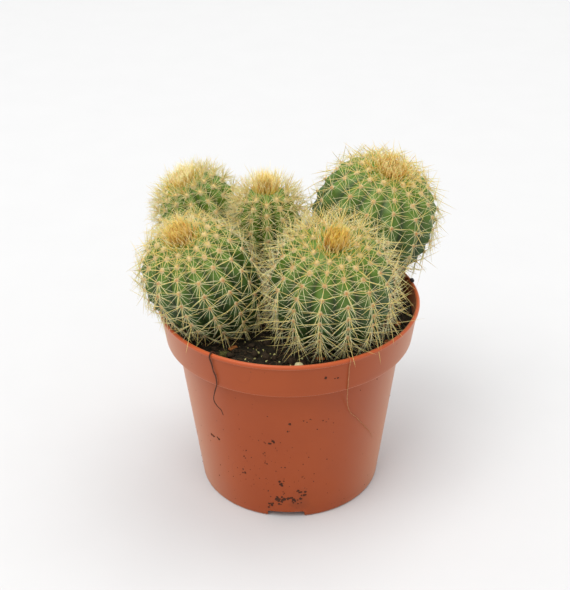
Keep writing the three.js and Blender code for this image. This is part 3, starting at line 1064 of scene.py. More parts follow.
        # painted highlight: a pale band over the rolled lip, and a weaker one along the collar's lower edge
        lip = smooth((z - (self.height - 2.2 * self.lip_radius)) / 0.8)
        edge = smooth(1 - np.abs(z - self.shelf) / 0.8) * (radius > self.body_top_radius + 2)
        angle = np.degrees(np.arctan2(points[:, 1], points[:, 0]))
        away = np.abs((angle - self.grime_angle + 180) % 360 - 180)
        low = smooth(1 - away / 26) * smooth(1 - z / 20)
        grime = np.maximum(low, 0.35 * smooth(1 - z / 9))
        for name, values in (("lip", np.maximum(lip, 0.8 * edge)), ("grime", grime)):
            layer = mesh.attributes.new(name, "FLOAT", "POINT")
            layer.data.foreach_set("value", values.astype(np.float32))


# ---- Cacti -------------------------------------------------------------------------


@dataclass
class Cactus:
    """One round, ribbed cactus: its skin, spine cushions, spines and crown bristles.

    Its stem leaves the soil at stem and its crown is at crown, both x and y from the pot's
    axis. The crown leans by lean degrees towards +X and +Y. The body is widest at a share of
    its height and closes at another onto a stem that is neck times as wide.

    A young plant has a maturity below 1, and keeps young skin and cushions further down. Its
    spines are spine_length times as long, stand out spine_rise times as far, and take
    gold_share of the gold; extra_spines is how many more each cushion has. Its brush sweeps
    over by sweep, and is brush_width times as wide and paler by brush_pale.
    """

    name: str
    stem: tuple[float, float]
    crown: tuple[float, float]
    height: float
    radius: float
    ribs: int
    lean: tuple[float, float]
    widest: float
    closes: float
    neck: float
    soil_edge: float
    seed: int
    sweep: tuple[float, float] = (0.0, 0.0)
    maturity: float = 1.0
    gold_share: float = 1.0
    spine_length: float = 1.0
    spine_rise: float = 1.0
    extra_spines: int = 0
    brush_length: float = 8.8
    brush_width: float = 1.0
    brush_pale: float = 0.0
    rib_depth: float = 3.9
    tubercle: float = 1.0
    shoulder: float = 0.87
    pit_radius: float = 6.0
    pit_depth: float = 1.8
    root_depth: float = 9.0
    first_cushion: float = 3.6
    near_spacing: float = 4.6
    far_spacing: float = 7.0
    spacing_reach: float = 22.0
    rows: int = 130
    columns_per_rib: int = 18

    def __post_init__(self) -> None:
        """Works out the crest line and where the cushions sit along it."""
        self.rng = np.random.default_rng(self.seed)
        lean = [math.tan(math.radians(degrees)) for degrees in self.lean]
        self.up = unit(np.array([*lean, 1.0]))
        self.bottom = np.array([*self.stem, self.soil_edge])
        self.top = np.array([*self.crown, self.soil_edge + self.height])
        self.bend = self.top - self.up * (self.height / 2 / self.up[2])
        self.scale = 1.0 if self.radius > 22 else 0.9
        self.set_crest_line()
        self.set_cushion_steps()

    def set_crest_line(self) -> None:
        """Tabulates the crest from the root's tip to the middle of the crown."""
        rise = self.up[2] / self.height
        tip = -self.root_depth / self.height
        line = [(0, tip), (0.35 * self.neck * self.radius, tip), (0.6 * self.neck * self.radius, 0.85 * tip)]
        for angle in np.linspace(0, math.pi / 2, 40):
            swell = math.sqrt(self.neck**2 + (1 - self.neck**2) * math.sin(angle) ** 2)
            line.append((self.radius * swell, self.widest - (self.widest - self.closes) * math.cos(angle)))
        last = math.acos((self.pit_radius / self.radius) ** (1 / self.shoulder))
        for angle in np.linspace(0, last, 60)[1:]:
            line.append((
                self.radius * math.cos(angle) ** self.shoulder,
                self.widest + (1 - self.widest) * math.sin(angle) ** self.shoulder,
            ))
        edge = line[-1][1]
        for t in np.linspace(0, 1, 12)[1:]:
            line.append((self.pit_radius * (1 - t), edge - self.pit_depth * rise * smooth(np.array(t))))
        crest = np.array(line, float)
        steps = np.hypot(np.diff(crest[:, 0]), np.diff(crest[:, 1]) * self.height / self.up[2])
        self.crest = crest
        self.arc = np.concatenate([[0], np.cumsum(steps)])
        self.pit_arc = self.arc[-12]
        self.soil_arc = float(np.interp(0.03, crest[:100, 1], self.arc[:100]))

    def set_cushion_steps(self) -> None:
        """Tabulates how many cushions there are along a rib from the crown to any place."""
        reach = np.linspace(-10, self.pit_arc, 600)
        spacing = self.scale * (
            self.near_spacing
            + (self.far_spacing - self.near_spacing) * smooth(reach / self.spacing_reach)
        )
        count = np.concatenate([[0], np.cumsum(np.diff(reach) / spacing[1:])])
        start = np.interp(self.first_cushion * self.scale, reach, count)
        self.reach, self.count = reach, count - start

    def frames(self, share: Array, flat: Array) -> Array:
        """Moves points from level rings onto the bent axis.

        Args:
            share: Each ring's place as a share of the height.
            flat: Each point's x and y from the ring's centre, with z 0.

        Returns:
            The points.
        """
        t = np.clip(share, 0, 1)[:, None]
        centre = (1 - t) ** 2 * self.bottom + 2 * t * (1 - t) * self.bend + t * t * self.top
        centre = centre + 2 * np.minimum(share, 0)[:, None] * (self.bend - self.bottom)
        normal = unit((1 - t) * np.array([[0, 0, 1.0]]) + t * self.up)
        axis = np.stack([-normal[:, 1], normal[:, 0], np.zeros(len(normal))], axis=-1)
        once = np.cross(axis, flat)
        twice = np.cross(axis, once)
        return centre + flat + once + twice / (1 + normal[:, 2:])

    def phase(self, rib: Array) -> Array:
        """How far the cushions of each rib are moved along it, in steps."""
        return (rib * (self.ribs // 2) / self.ribs) % 1

    def skin(self, arc: Array, angle: Array) -> tuple[Array, dict[str, Array]]:
        """Points on the skin.

        Args:
            arc: How far each is from the root's tip along the crest line.
            angle: How far each is round the axis.

        Returns:
            The points and their marks: "age", the mark that places painted shade in the furrows, and
                "cushion", which places a painted highlight on the tubercle under each cushion.
        """
        radius = np.interp(arc, self.arc, self.crest[:, 0])
        share = np.interp(arc, self.arc, self.crest[:, 1])
        wave = np.abs(np.cos(self.ribs * angle / 2))
        crest = np.sqrt(wave**2 + 0.012)
        size = radius / self.radius
        near_crown = np.sqrt(np.clip((1 - share) / 0.1, 0, 1))
        near_stem = np.clip((share - self.closes) / 0.2, 0, 1)
        fade = near_crown * near_stem
        rib = np.round(angle * self.ribs / (2 * math.pi)) % self.ribs
        step = np.interp(self.pit_arc - arc, self.reach, self.count)
        bump = 0.5 + 0.5 * np.cos(2 * math.pi * (step - self.phase(rib)))
        shown = fade * smooth(step + 1)
        radius = radius - self.rib_depth * size * (1.005 - crest) * fade
        radius = radius - self.tubercle * self.scale * (1 - bump) * wave**1.5 * shown * size**0.5
        flat = np.stack([radius * np.cos(angle), radius * np.sin(angle), np.zeros(len(radius))], axis=-1)
        age = self.maturity * np.clip((self.pit_arc - arc) / (self.pit_arc - self.soil_arc), 0, 1.2)
        marks = {
            # painted shade: strongest down in the furrows between the ribs
            "furrow_shade": (1 - wave) ** 1.5 * fade,
            "age": age,
            # painted highlight: strongest on the tubercle top under each cushion
            "cushion": bump * wave**3,
        }
        return self.frames(share, flat), marks

    def body(self) -> MeshData:
        """The skin's mesh, from the root's tip to the hollow in the crown."""
        columns = self.ribs * self.columns_per_rib
        arcs = np.linspace(0, self.arc[-1], self.rows + 2)[1:-1]
        angles = np.arange(columns) * 2 * math.pi / columns
        arc, angle = (grid.ravel() for grid in np.meshgrid(arcs, angles, indexing="ij"))
        points, marks = self.skin(arc, angle)
        ends, end_marks = self.skin(np.array([0.0, self.arc[-1]]), np.zeros(2))
        share = np.interp(arc, self.arc, self.crest[:, 1])
        outward = unit(points - self.frames(share, np.zeros((len(arc), 3))))
        points = points + outward * 0.12 * ripple(points, 5.0, self.seed)[:, None]
        quads, triangles = ring_faces(self.rows, columns)
        joined = {name: np.concatenate([marks[name], end_marks[name]]) for name in marks}
        return MeshData(np.concatenate([points, ends]), quads, triangles, joined)

    def cushion_places(self) -> dict[str, Array]:
        """Where the spine cushions are, with the three directions at each.

        Returns:
            "point", "out", "down" and "side" as rows, and "age" from the crown to the soil.
        """
        arcs, angles = [], []
        for rib in range(self.ribs):
            step = self.phase(np.array(rib))
            while step < self.count[-1]:
                reach = float(np.interp(step, self.count, self.reach))
                arcs.append(self.pit_arc - reach)
                angles.append(rib * 2 * math.pi / self.ribs)
                step += 1
        arc, angle = np.array(arcs), np.array(angles)
        point, marks = self.skin(arc, angle)
        above = point[:, 2] > self.soil_edge + 3.0
        arc, angle, point = arc[above], angle[above], point[above]
        up = unit(self.skin(arc + 0.4, angle)[0] - self.skin(arc - 0.4, angle)[0])
        side = unit(self.skin(arc, angle + 0.012)[0] - self.skin(arc, angle - 0.012)[0])
        out = unit(np.cross(side, up))
        side = unit(np.cross(up, out))
        return {"point": point, "out": out, "down": -up, "side": side, "age": marks["age"][above]}

    def cushions(self, places: dict[str, Array]) -> MeshData:
        """The felted cushions that the spines grow from.

        Args:
            places: What cushion_places gives.

        Returns:
            Low domes with short wool.
        """
        rings, sides = 5, 12
        count = len(places["point"])
        width = np.interp(places["age"], [0, 0.12, 0.3, 0.6, 1], [2.7, 2.4, 1.9, 1.5, 1.25]) * self.scale
        width = width * self.rng.uniform(0.9, 1.1, count)
        t = np.arange(rings) / rings * math.pi / 2
        angle = np.arange(sides) * 2 * math.pi / sides
        wobble = 1 + 0.12 * self.rng.standard_normal((count, 1, sides))
        ring_radius = np.cos(t)[None, :, None] * wobble * width[:, None, None] / 2
        lift = (0.62 * np.sin(t)[None, :, None] - 0.12) * width[:, None, None] * np.ones((1, 1, sides))
        lift = lift + 0.05 * self.rng.standard_normal(lift.shape) * width[:, None, None]
        long_way = 1.15
        offset = (
            (ring_radius * np.cos(angle))[..., None] * long_way * places["down"][:, None, None]
            + (ring_radius * np.sin(angle))[..., None] * places["side"][:, None, None]
            + lift[..., None] * places["out"][:, None, None]
        )
        domes = (places["point"][:, None, None] + offset).reshape(count, -1, 3)
        top = places["point"] + places["out"] * (0.46 * width[:, None])
        points = np.concatenate([domes, top[:, None]], axis=1)
        size = rings * sides + 1
        row, column = np.meshgrid(np.arange(rings - 1), np.arange(sides), indexing="ij")
        after = (column + 1) % sides
        quads = np.stack([row * sides + column, row * sides + after,
                          (row + 1) * sides + after, (row + 1) * sides + column], axis=-1).reshape(-1, 4)
        here = (rings - 1) * sides + np.arange(sides)
        following = (rings - 1) * sides + (np.arange(sides) + 1) % sides
        caps = np.stack([here, following, np.full(sides, size - 1)], axis=-1)
        starts = (np.arange(count) * size)[:, None, None]
        heart = np.append(np.repeat(np.sin(t), sides), 1.0)
        domes_mesh = MeshData(
            points.reshape(-1, 3),
            (quads[None] + starts).reshape(-1, 4),
            (caps[None] + starts).reshape(-1, 3),
            {"age": np.repeat(places["age"], size), "heart": np.tile(heart, count)},
        )
        wool = self.wool(places, width)
        return MeshData.joined([domes_mesh, wool])

    def wool(self, places: dict[str, Array], width: Array, strands: int = 26) -> MeshData:
        """Short curled wool round each cushion.

        Args:
            places: What cushion_places gives.
            width: Each cushion's width.
            strands: How many strands each cushion has.

        Returns:
            The strands.
        """
        pick = np.repeat(np.arange(len(width)), strands)
        turn = self.rng.uniform(0, 2 * math.pi, len(pick))
        rise = self.rng.uniform(0.15, 1.2, len(pick))
        around = (
            np.cos(turn)[:, None] * places["down"][pick] + np.sin(turn)[:, None] * places["side"][pick]
        )
        direction = unit(np.cos(rise)[:, None] * around + np.sin(rise)[:, None] * places["out"][pick])
        size = width[pick]
        base = places["point"][pick] + (
            around * (0.42 * np.cos(rise) * size)[:, None]
            + places["out"][pick] * ((0.38 * np.sin(rise) - 0.02) * size)[:, None]
        )
        curl = 0.5 * self.rng.standard_normal((len(pick), 3))
        made = needles(
            base, direction, self.rng.uniform(0.22, 0.42, len(pick)) * size,
            0.075 * size, curl, {"age": places["age"][pick]}, rings=2, sides=3,
        )
        made.marks["heart"] = np.zeros(len(made.points))
        del made.marks["along"]
        return made

    def spine_fans(self, places: dict[str, Array]) -> dict[str, Array]:
        """The spines that leave each cushion: a fan at the sides and a few from the middle.

        Args:
            places: What cushion_places gives.

        Returns:
            "base", "direction", "length", "width", "bend" and "out", and the marks "central",
            "gold" and "aged".
        """
        rows = []
        for i, age in enumerate(places["age"]):
            fans = (self.side_spines(age), self.middle_spines(age))
            for central, (azimuth, rise, length, width) in enumerate(fans):
                count = len(azimuth)
                around = (
                    np.cos(azimuth)[:, None] * places["down"][i]
                    + np.sin(azimuth)[:, None] * places["side"][i]
                )
                rise = rise * self.spine_rise
                direction = np.cos(rise)[:, None] * around + np.sin(rise)[:, None] * places["out"][i]
                bend = -0.05 * places["out"][i] + 0.035 * self.rng.standard_normal((count, 3))
                base = places["point"][i] + 0.35 * around + 0.25 * places["out"][i]
                gold = np.clip(1.05 - age / 0.26, 0, 1) * self.rng.uniform(0.4, 1.0, count)
                aged = np.clip((age - 0.62) / 0.38, 0, 1) * self.rng.uniform(0.0, 0.4, count)
                rows.append(np.column_stack([
                    base, unit(direction),
                    length * self.scale**1.5 * self.spine_length, width * self.scale, bend,
                    np.full(count, float(central)), gold * self.gold_share, aged,
                    np.repeat(places["out"][i][None], count, axis=0),
                ]))
        table = np.concatenate(rows)
        return {
            "base": table[:, 0:3], "direction": table[:, 3:6], "length": table[:, 6],
            "width": table[:, 7], "bend": table[:, 8:11], "central": table[:, 11],
            "gold": table[:, 12], "aged": table[:, 13], "out": table[:, 14:17],
        }

    def side_spines(self, age: float) -> tuple[Array, Array, Array, Array]:
        """The fan at a cushion's sides: turn from straight down, rise, length and width."""
        count = int(self.rng.integers(9, 12)) + self.extra_spines - (age > 0.55)
        half = math.radians(float(np.interp(age, [0, 0.2, 0.4, 1], [178, 150, 108, 82])))
        azimuth = np.linspace(-half, half, count) + self.rng.normal(0, 0.09, count)
        rise = np.radians(np.interp(age, [0, 0.15, 0.35, 1], [54, 34, 24, 34]))
        rise = rise + self.rng.normal(0, 0.14, count)
        length = np.interp(age, [0, 0.2, 0.4, 1], [11.0, 12.2, 10.6, 10.4])
        length = length * self.rng.uniform(0.7, 1.15, count)
        return azimuth, rise, length, self.rng.uniform(0.17, 0.26, count)

    def middle_spines(self, age: float) -> tuple[Array, Array, Array, Array]:
        """The few from a cushion's middle: turn from straight down, rise, length and width."""
        count = int(self.rng.integers(3, 5))
        azimuth = np.array([0.0, 1.8, -1.8, 3.1])[:count] + self.rng.normal(0, 0.28, count)
        rise = np.radians(np.interp(age, [0, 0.2, 0.5, 1], [68, 48, 32, 50]))
        rise = rise + self.rng.normal(0, 0.16, count)
        length = np.interp(age, [0, 0.3, 0.7, 1], [12.4, 14.4, 14.0, 15.5])
        length = length * self.rng.uniform(0.75, 1.15, count)
        longer = (self.rng.uniform(0, 1, count) < 0.25) & (age > 0.5)
        length = length * np.where(longer, 1.4, 1.0)
        return azimuth, rise, length, self.rng.uniform(0.24, 0.34, count)

    def spines(self, fans: dict[str, Array], obstacles: BVHTree, offset: Array) -> MeshData:
        """The spines, each turned outwards or shortened until it clears what is near.

        Args:
            fans: What spine_fans gives.
            obstacles: The pot, the soil and the other cacti, in metres.
            offset: From the pot's axis to the row frame, in millimetres.

        Returns:
            The spines.
        """
        direction, length = fans["direction"].copy(), fans["length"].copy()
        low, high = (np.array(corner) / MM for corner in CAD_BOX)
        keep = np.ones(len(length), bool)
        for i, base in enumerate(fans["base"]):
            start = Vector((base + offset) * MM)
            best, clear = direction[i], 0.0
            for lift in (0.0, 0.35, 0.8, 1.4):
                way = unit(direction[i] + lift * fans["out"][i])
                hit = obstacles.ray_cast(start, Vector(way), float(length[i]) * MM * 1.04)[3]
                free = length[i] if hit is None else hit / MM * 0.94
                if free > clear:
                    best, clear = way, free
                if hit is None:
                    break
            tip = base + offset + best * clear
            outside = max(0.0, np.max(low - SPINE_REACH - tip), np.max(tip - high - SPINE_REACH))
            direction[i], length[i] = best, clear - outside
            keep[i] = length[i] > SHORTEST_SPINE
        marks = {name: fans[name][keep] for name in ("central", "gold", "aged")}
        return needles(fans["base"][keep], direction[keep], length[keep], fans["width"][keep],
                       fans["bend"][keep], marks)

    def brush(self) -> MeshData:
        """The golden bristles that stand in the crown's hollow and round its edge."""
        parts = []
        for outer, count, spread in ((0.0, 460, 4.7 * self.brush_width), (1.0, 160, 8.0 * self.brush_width)):
            reach = spread * np.sqrt(self.rng.uniform(0.0 if outer < 0.5 else 0.32, 1, count)) * self.scale
            angle = self.rng.uniform(0, 2 * math.pi, count)
            arc = self.arc[-1] - reach
            base, _ = self.skin(arc, angle)
            away = unit(base - self.skin(np.full(count, self.arc[-1]), angle)[0] + 1e-6)
            fan = (0.0 if outer < 0.5 else 0.3) + 0.04 * reach + self.rng.normal(0, 0.08, count)
            sweep = np.array([*self.sweep, 0.0])
            direction = unit(self.up + away * fan[:, None] + sweep + self.rng.normal(0, 0.09, (count, 3)))
            length = self.brush_length * self.rng.uniform(0.62, 1.12, count) * (1 - 0.15 * outer)
            bend = 0.16 * self.rng.standard_normal((count, 3)) - 0.12 * away + 0.5 * sweep
            marks = {"outer": np.clip(outer * self.rng.uniform(0.5, 1.2, count) + 0.06 * reach - 0.1
                                      + self.brush_pale, 0, 1)}
            parts.append(needles(base - self.up * 0.3, direction, length,
                                 self.rng.uniform(0.24, 0.38, count), bend, marks, rings=4, sides=4))
        return MeshData.joined(parts)


@dataclass
class Garden:
    """All the cacti, with the finishes that they share."""

    soil_edge: float
    skin: SkinFinish = field(default_factory=SkinFinish)
    wool: WoolFinish = field(default_factory=WoolFinish)
    spine: SpineFinish = field(default_factory=SpineFinish)
    bristle: BristleFinish = field(default_factory=BristleFinish)

    def __post_init__(self) -> None:
        """Sets out the five cacti."""
        edge = self.soil_edge
        self.cacti = [
            Cactus("front_right", (18.4, -18.5), (19, -32.5), 52, 27, 14, (1, -22), 0.49, -0.12, 0.3,
                   edge, 11, sweep=(0.16, 0.05)),
            Cactus("front_left", (-30, -10), (-45.6, -21.5), 50, 25.2, 14, (-14, -20), 0.49, -0.02, 0.5,
                   edge, 12, sweep=(-0.1, 0.0), spine_length=0.8, spine_rise=0.55,
                   brush_length=9.2, brush_pale=0.12),
            Cactus("back_right", (30, 23.5), (47.4, 28), 58.5, 29.2, 13, (16, -13), 0.55, 0.13, 0.5,
                   edge, 13, sweep=(-0.1, 0.0), spine_length=0.82, spine_rise=0.65, brush_length=7.8,
                   brush_width=1.55, brush_pale=0.4),
            Cactus("back_centre", (-6, 16.5), (-9.8, 19), 54.4, 15.6, 12, (-1, 0), 0.6, 0.1, 0.6,
                   edge, 14, maturity=0.5, gold_share=0.5, extra_spines=14, brush_length=10.0,
                   brush_width=0.9, brush_pale=0.3),
            Cactus("back_left", (-28, 29.5), (-49.4, 37), 50.5, 19.3, 13, (-26, -6), 0.64, 0.22, 0.5,
                   edge, 15, sweep=(0.12, 0.0), maturity=0.42, gold_share=0.25, spine_length=0.82,
                   extra_spines=14, brush_length=7.0, brush_width=1.5, brush_pale=0.75),
        ]

    def build(self, shop: Workshop, effects: Effects, around: list[bpy.types.Mesh]) -> None:
        """Makes every cactus.

        Args:
            shop: Where the pieces are made.
            effects: The shared shader effects.
            around: The meshes that spines must clear besides the cacti.
        """
        skin, wool = self.skin.build(effects), self.wool.build(effects)
        spine, bristle = self.spine.build(effects), self.bristle.build(effects)
        meshes = [shop.mesh("cactus_body_" + cactus.name, cactus.body()) for cactus in self.cacti]
        offset = np.array([shop.axis_x, 0, 0])
        for i, cactus in enumerate(self.cacti):
            places = cactus.cushion_places()
            obstacles = self.obstacles([m for j, m in enumerate(meshes) if j != i] + around)
            fans = cactus.spine_fans(places)
            spines = shop.mesh("spines_" + cactus.name, cactus.spines(fans, obstacles, offset))
            cushions = shop.mesh("spine_cushions_" + cactus.name, cactus.cushions(places))
            brush = shop.mesh("crown_bristles_" + cactus.name, cactus.brush())
            shop.place(cushions, wool, "cactus_green")
            shop.place(spines, spine, "cactus_green")
            shop.place(brush, bristle, "crown_bristle", ("crown_tuft_" + cactus.name,))
        for cactus, mesh in zip(self.cacti, meshes):
            shop.place(mesh, skin, "cactus_green", ("cactus_" + cactus.name,))

    @staticmethod
    def obstacles(meshes: list[bpy.types.Mesh]) -> BVHTree:
        """One search tree over several meshes.

        Args:
            meshes: The meshes, in metres.

        Returns:
            The tree.
        """
        points, faces, start = [], [], 0
        for mesh in meshes:
            flat = np.zeros(len(mesh.vertices) * 3, np.float32)
            mesh.vertices.foreach_get("co", flat)
            points.extend(flat.reshape(-1, 3).tolist())
            faces.extend([[start + v for v in face.vertices] for face in mesh.polygons])
            start += len(mesh.vertices)
        return BVHTree.FromPolygons(points, faces)


# ---- Soil and what lies on it ------------------------------------------------------


@dataclass
class SoilBed:
    """The crumbly peat inside the rim."""

    pot: NurseryPot
    cacti: list[Cactus]
    drop: float = 8.3
    mound: float = 1.4
    gap: float = 0.3
    seed: int = 41
    crumb_count: int = 1900
    fibre_count: int = 260
    peat: GrainFinish = GrainFinish("peat", 0.95, 0.2, first="14120D", second="2B261A", speck="463C26",
                                    scale=420.0, specks=0.35, relief=0.9, height=0.0008)
    crumbs: GrainFinish = GrainFinish("peat_crumbs", 0.92, 0.25, first="16120C", second="30271B",
                                      speck="6A5238", scale=700.0, specks=0.4, relief=0.9, height=0.0004)
    fibres: GrainFinish = GrainFinish("peat_fibres", 0.85, 0.3, first="4A3522", second="7A5C3C",
                                      speck="A58A60", scale=900.0, specks=0.4, relief=0.5, height=0.0002)

    def __post_init__(self) -> None:
        """Takes the bed's edge from the pot."""
        self.rng = np.random.default_rng(self.seed)
        self.edge_z = self.pot.height - self.drop
        self.radius = float(self.pot.outside(self.edge_z)) - self.pot.wall - self.gap

    def height_at(self, points: Array) -> Array:
        """The bed's height at rows of x and y, with its crumbly relief."""
        share = np.hypot(points[:, 0], points[:, 1]) / self.radius
        base = self.edge_z + self.mound * (1 - share**2)
        flat = np.column_stack([points[:, :2], np.zeros(len(points))])
        relief = 0.9 * ripple(flat, 9.0, 1.0) + 0.55 * ripple(flat, 3.2, 2.0) + 0.3 * ripple(flat, 1.3, 3.0)
        return base + 0.35 + relief * smooth((1.02 - share) / 0.1)

    def crust(self) -> MeshData:
        """The bed's surface as a thin crust over the solid soil."""
        rings, columns = 84, 300
        radius = self.radius * np.linspace(0, 1, rings + 1)[1:]
        angle = np.arange(columns) * 2 * math.pi / columns
        r, a = (grid.ravel() for grid in np.meshgrid(radius, angle, indexing="ij"))
        flat = np.column_stack([r * np.cos(a), r * np.sin(a)])
        top = np.column_stack([flat, self.height_at(flat)])
        middle = np.array([[0.0, 0.0]])
        centre = np.column_stack([middle, self.height_at(middle)])
        skirt = top[-columns:] * [1, 1, 0] + [0, 0, self.edge_z - 1.5]
        quads, triangles = ring_faces(rings + 1, columns)
        points = np.concatenate([top, skirt, centre])
        low = triangles[:columns]
        return MeshData(points, quads[:, ::-1], low[:, ::-1])

    def scattered(self, count: int, margin: float) -> Array:
        """Random places on the bed, x and y, that keep clear of the wall and the stems."""
        places = []
        while len(places) < count:
            x, y = self.rng.uniform(-self.radius, self.radius, 2)
            if math.hypot(x, y) > self.radius - margin:
                continue
            reach = [math.hypot(x - c.stem[0], y - c.stem[1]) / (c.radius * c.neck * 0.9) for c in self.cacti]
            if min(reach) > 1:
                places.append((x, y))
        return np.array(places)

    def build(self, shop: Workshop, effects: Effects) -> bpy.types.Mesh:
        """Makes the bed, its crumbs and its fibres.

        Args:
            shop: Where the pieces are made.
            effects: The shared shader effects.

        Returns:
            The crust's mesh.
        """
        peat = self.peat.build(effects)
        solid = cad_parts["soil"]
        solid.data.materials.clear()
        solid.data.materials.append(peat)
        crust = shop.mesh("soil_crust", self.crust())
        shop.place(crust, peat, "peat")
        flat = self.scattered(self.crumb_count, 1.0)
        size = self.rng.gamma(2.2, 0.55, self.crumb_count).clip(0.5, 4.2)
        sizes = size[:, None] * self.rng.uniform(0.6, 1.1, (self.crumb_count, 3))
        centres = np.column_stack([flat, self.height_at(flat) + 0.22 * size])
        lumps = Lumps(self.rng, level=2, roughness=0.5)
        shop.place(shop.mesh("peat_crumbs", lumps.scatter(centres, sizes, {}), 50),
                   self.crumbs.build(effects), "peat")
        shop.place(shop.mesh("peat_fibres", self.fibre_mesh()), self.fibres.build(effects), "peat")
        return crust

    def fibre_mesh(self) -> MeshData:
        """Fine rootlets and fibres that lie on the bed."""
        count = self.fibre_count
        flat = self.scattered(count, 6.0)
        turn = self.rng.uniform(0, 2 * math.pi, count)
        direction = unit(np.column_stack([np.cos(turn), np.sin(turn), self.rng.uniform(-0.02, 0.3, count)]))
        base = np.column_stack([flat, self.height_at(flat) + 0.15])
        bend = self.rng.normal(0, 0.3, (count, 3)) * [1, 1, 0.15]
        length = self.rng.uniform(1.8, 5.5, count)
        width = self.rng.uniform(0.14, 0.32, count)
        return needles(base, direction, length, width, bend, {}, rings=5, sides=4)


@dataclass
class Trimmings:
    """Grains, chips and other loose things that lie on the soil and the rim."""

    bed: SoilBed
    seed: int = 52
    grain: GrainFinish = GrainFinish("pale_grain", 0.55, 0.5, first="A6A055", second="C4BE80", speck="80803C",
                                     scale=900.0, specks=0.3, relief=0.4, height=0.0002)
    bark: GrainFinish = GrainFinish("bark_flake", 0.8, 0.3, first="8A4A20", second="B8753A", speck="6A3A1C",
                                    scale=650.0, specks=0.5, relief=0.8, height=0.0004)
    stone: GrainFinish = GrainFinish("cream_pebble", 0.5, 0.5, first="CFC48E", second="E2DAB0",
                                     speck="9C9058", scale=500.0, specks=0.35, relief=0.4, height=0.0002)
    moss: GrainFinish = GrainFinish("dry_moss", 0.9, 0.2, first="5C5C2A", second="85854A", speck="A8A464",
                                    scale=900.0, specks=0.4, relief=0.8, height=0.0004)
    dark: GrainFinish = GrainFinish("dark_crumb", 0.85, 0.3, first="2C2628", second="4A4244", speck="6B6064",
                                    scale=800.0, specks=0.3, relief=0.8, height=0.0003)

    def __post_init__(self) -> None:
        """Starts the random draws."""
        self.rng = np.random.default_rng(self.seed)

    def solid(self, node: str) -> tuple[Array, Array, float]:
        """A solid's middle, its size along its own directions and its turn, in millimetres.

        Args:
            node: The solid's name.

        Returns:
            The middle from the pot's axis, the size, and the turn of its long side.
        """
        points = np.array([v.co[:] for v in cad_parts[node].data.vertices]) / MM
        points = points - [self.bed.pot.axis_x, 0, 0]
        middle = (points.min(0) + points.max(0)) / 2
        flat = points[:, :2] - middle[:2]
        _, _, ways = np.linalg.svd(flat, full_matrices=False)
        turn = math.atan2(ways[0, 1], ways[0, 0])
        along = flat @ ways.T
        size = np.array([*np.ptp(along, axis=0), np.ptp(points[:, 2])])
        return middle, size, turn

    def lump(self, node: str, level: int, roughness: float, seed: float) -> MeshData:
        """An irregular lump that fills a solid's place.

        Args:
            node: The solid's name.
            level: How finely the lump is divided.
            roughness: How uneven it is.
            seed: Which shape it takes.

        Returns:
            The lump.
        """
        middle, size, turn = self.solid(node)
        points, triangles = ball(level)
        relief = ripple(points, 0.8, seed) + 0.5 * ripple(points, 0.35, seed + 5)
        points = points * (1 + roughness * relief[:, None]) * size / 2
        cos, sin = math.cos(turn), math.sin(turn)
        points = points @ np.array([[cos, sin, 0], [-sin, cos, 0], [0, 0, 1]])
        return MeshData(points + middle - [0, 0, 0.15], triangles=triangles)

    def flake(self, node: str, seed: float) -> MeshData:
        """A splintered flake of bark in a solid's place.

        Args:
            node: The solid's name.
            seed: Which shape it takes.

        Returns:
            The flake.
        """
        middle, size, turn = self.solid(node)
        points, triangles = ball(4)
        boxy = np.sign(points) * np.abs(points) ** 0.6
        ridges = ripple(boxy * [0.35, 1.6, 1.0], 0.5, seed)[:, None] * [0.1, 0.12, 0.35]
        shape = (boxy + ridges) * size / 2 * [1.05, 1.0, 0.9]
        shape[:, 2] += 0.35 * (shape[:, 0] / max(size[0], 0.1)) ** 2 * size[2]
        cos, sin = math.cos(turn), math.sin(turn)
        shape = shape @ np.array([[cos, sin, 0], [-sin, cos, 0], [0, 0, 1]])
        return MeshData(shape + middle - [0, 0, 0.1], triangles=triangles)

    def moss_mesh(self) -> MeshData:
        """A tuft of short moss shoots in its solid's place."""
        middle, size, _ = self.solid("moss_tuft")
        count = 240
        turn = self.rng.uniform(0, 2 * math.pi, count)
        reach = np.sqrt(self.rng.uniform(0, 1, count)) * 0.42
        base = middle + np.column_stack([
            reach * np.cos(turn) * size[0], reach * np.sin(turn) * size[1], np.full(count, -0.45 * size[2]),
        ])
        direction = unit(np.column_stack([
            1.6 * reach * np.cos(turn), 1.6 * reach * np.sin(turn), np.ones(count),
        ]) + self.rng.normal(0, 0.25, (count, 3)))
        return needles(base, direction, self.rng.uniform(0.5, 1.0, count) * size[2],
                       self.rng.uniform(0.2, 0.36, count), self.rng.normal(0, 0.3, (count, 3)), {},
                       rings=3, sides=4)

    def build(self, shop: Workshop, effects: Effects) -> None:
        """Makes the trimmings.

        Args:
            shop: Where the pieces are made.
            effects: The shared shader effects.
        """
        grain, bark = self.grain.build(effects), self.bark.build(effects)
        for i in range(1, 10):
            node = f"grit_{i:02d}"
            shop.place(shop.mesh("grain_" + node, self.lump(node, 3, 0.16, i)), grain, "grit", (node,))
        for i in range(1, 5):
            node = f"bark_chip_{i:02d}"
            shop.place(shop.mesh("flake_" + node, self.flake(node, i), 45), bark, "bark", (node,))
        shop.place(shop.mesh("cream_pebble", self.lump("pebble", 4, 0.08, 3.0)), self.stone.build(effects),
                   "pebble", ("pebble",))
        shop.place(shop.mesh("moss_shoots", self.moss_mesh()), self.moss.build(effects), "moss",
                   ("moss_tuft",))
        dark = self.dark.build(effects)
        shop.place(shop.mesh("crumb_on_rim", self.lump("rim_crumb", 3, 0.3, 8.0), 55), dark, "crumb",
                   ("rim_crumb",))
        self.build_sand(shop, grain)

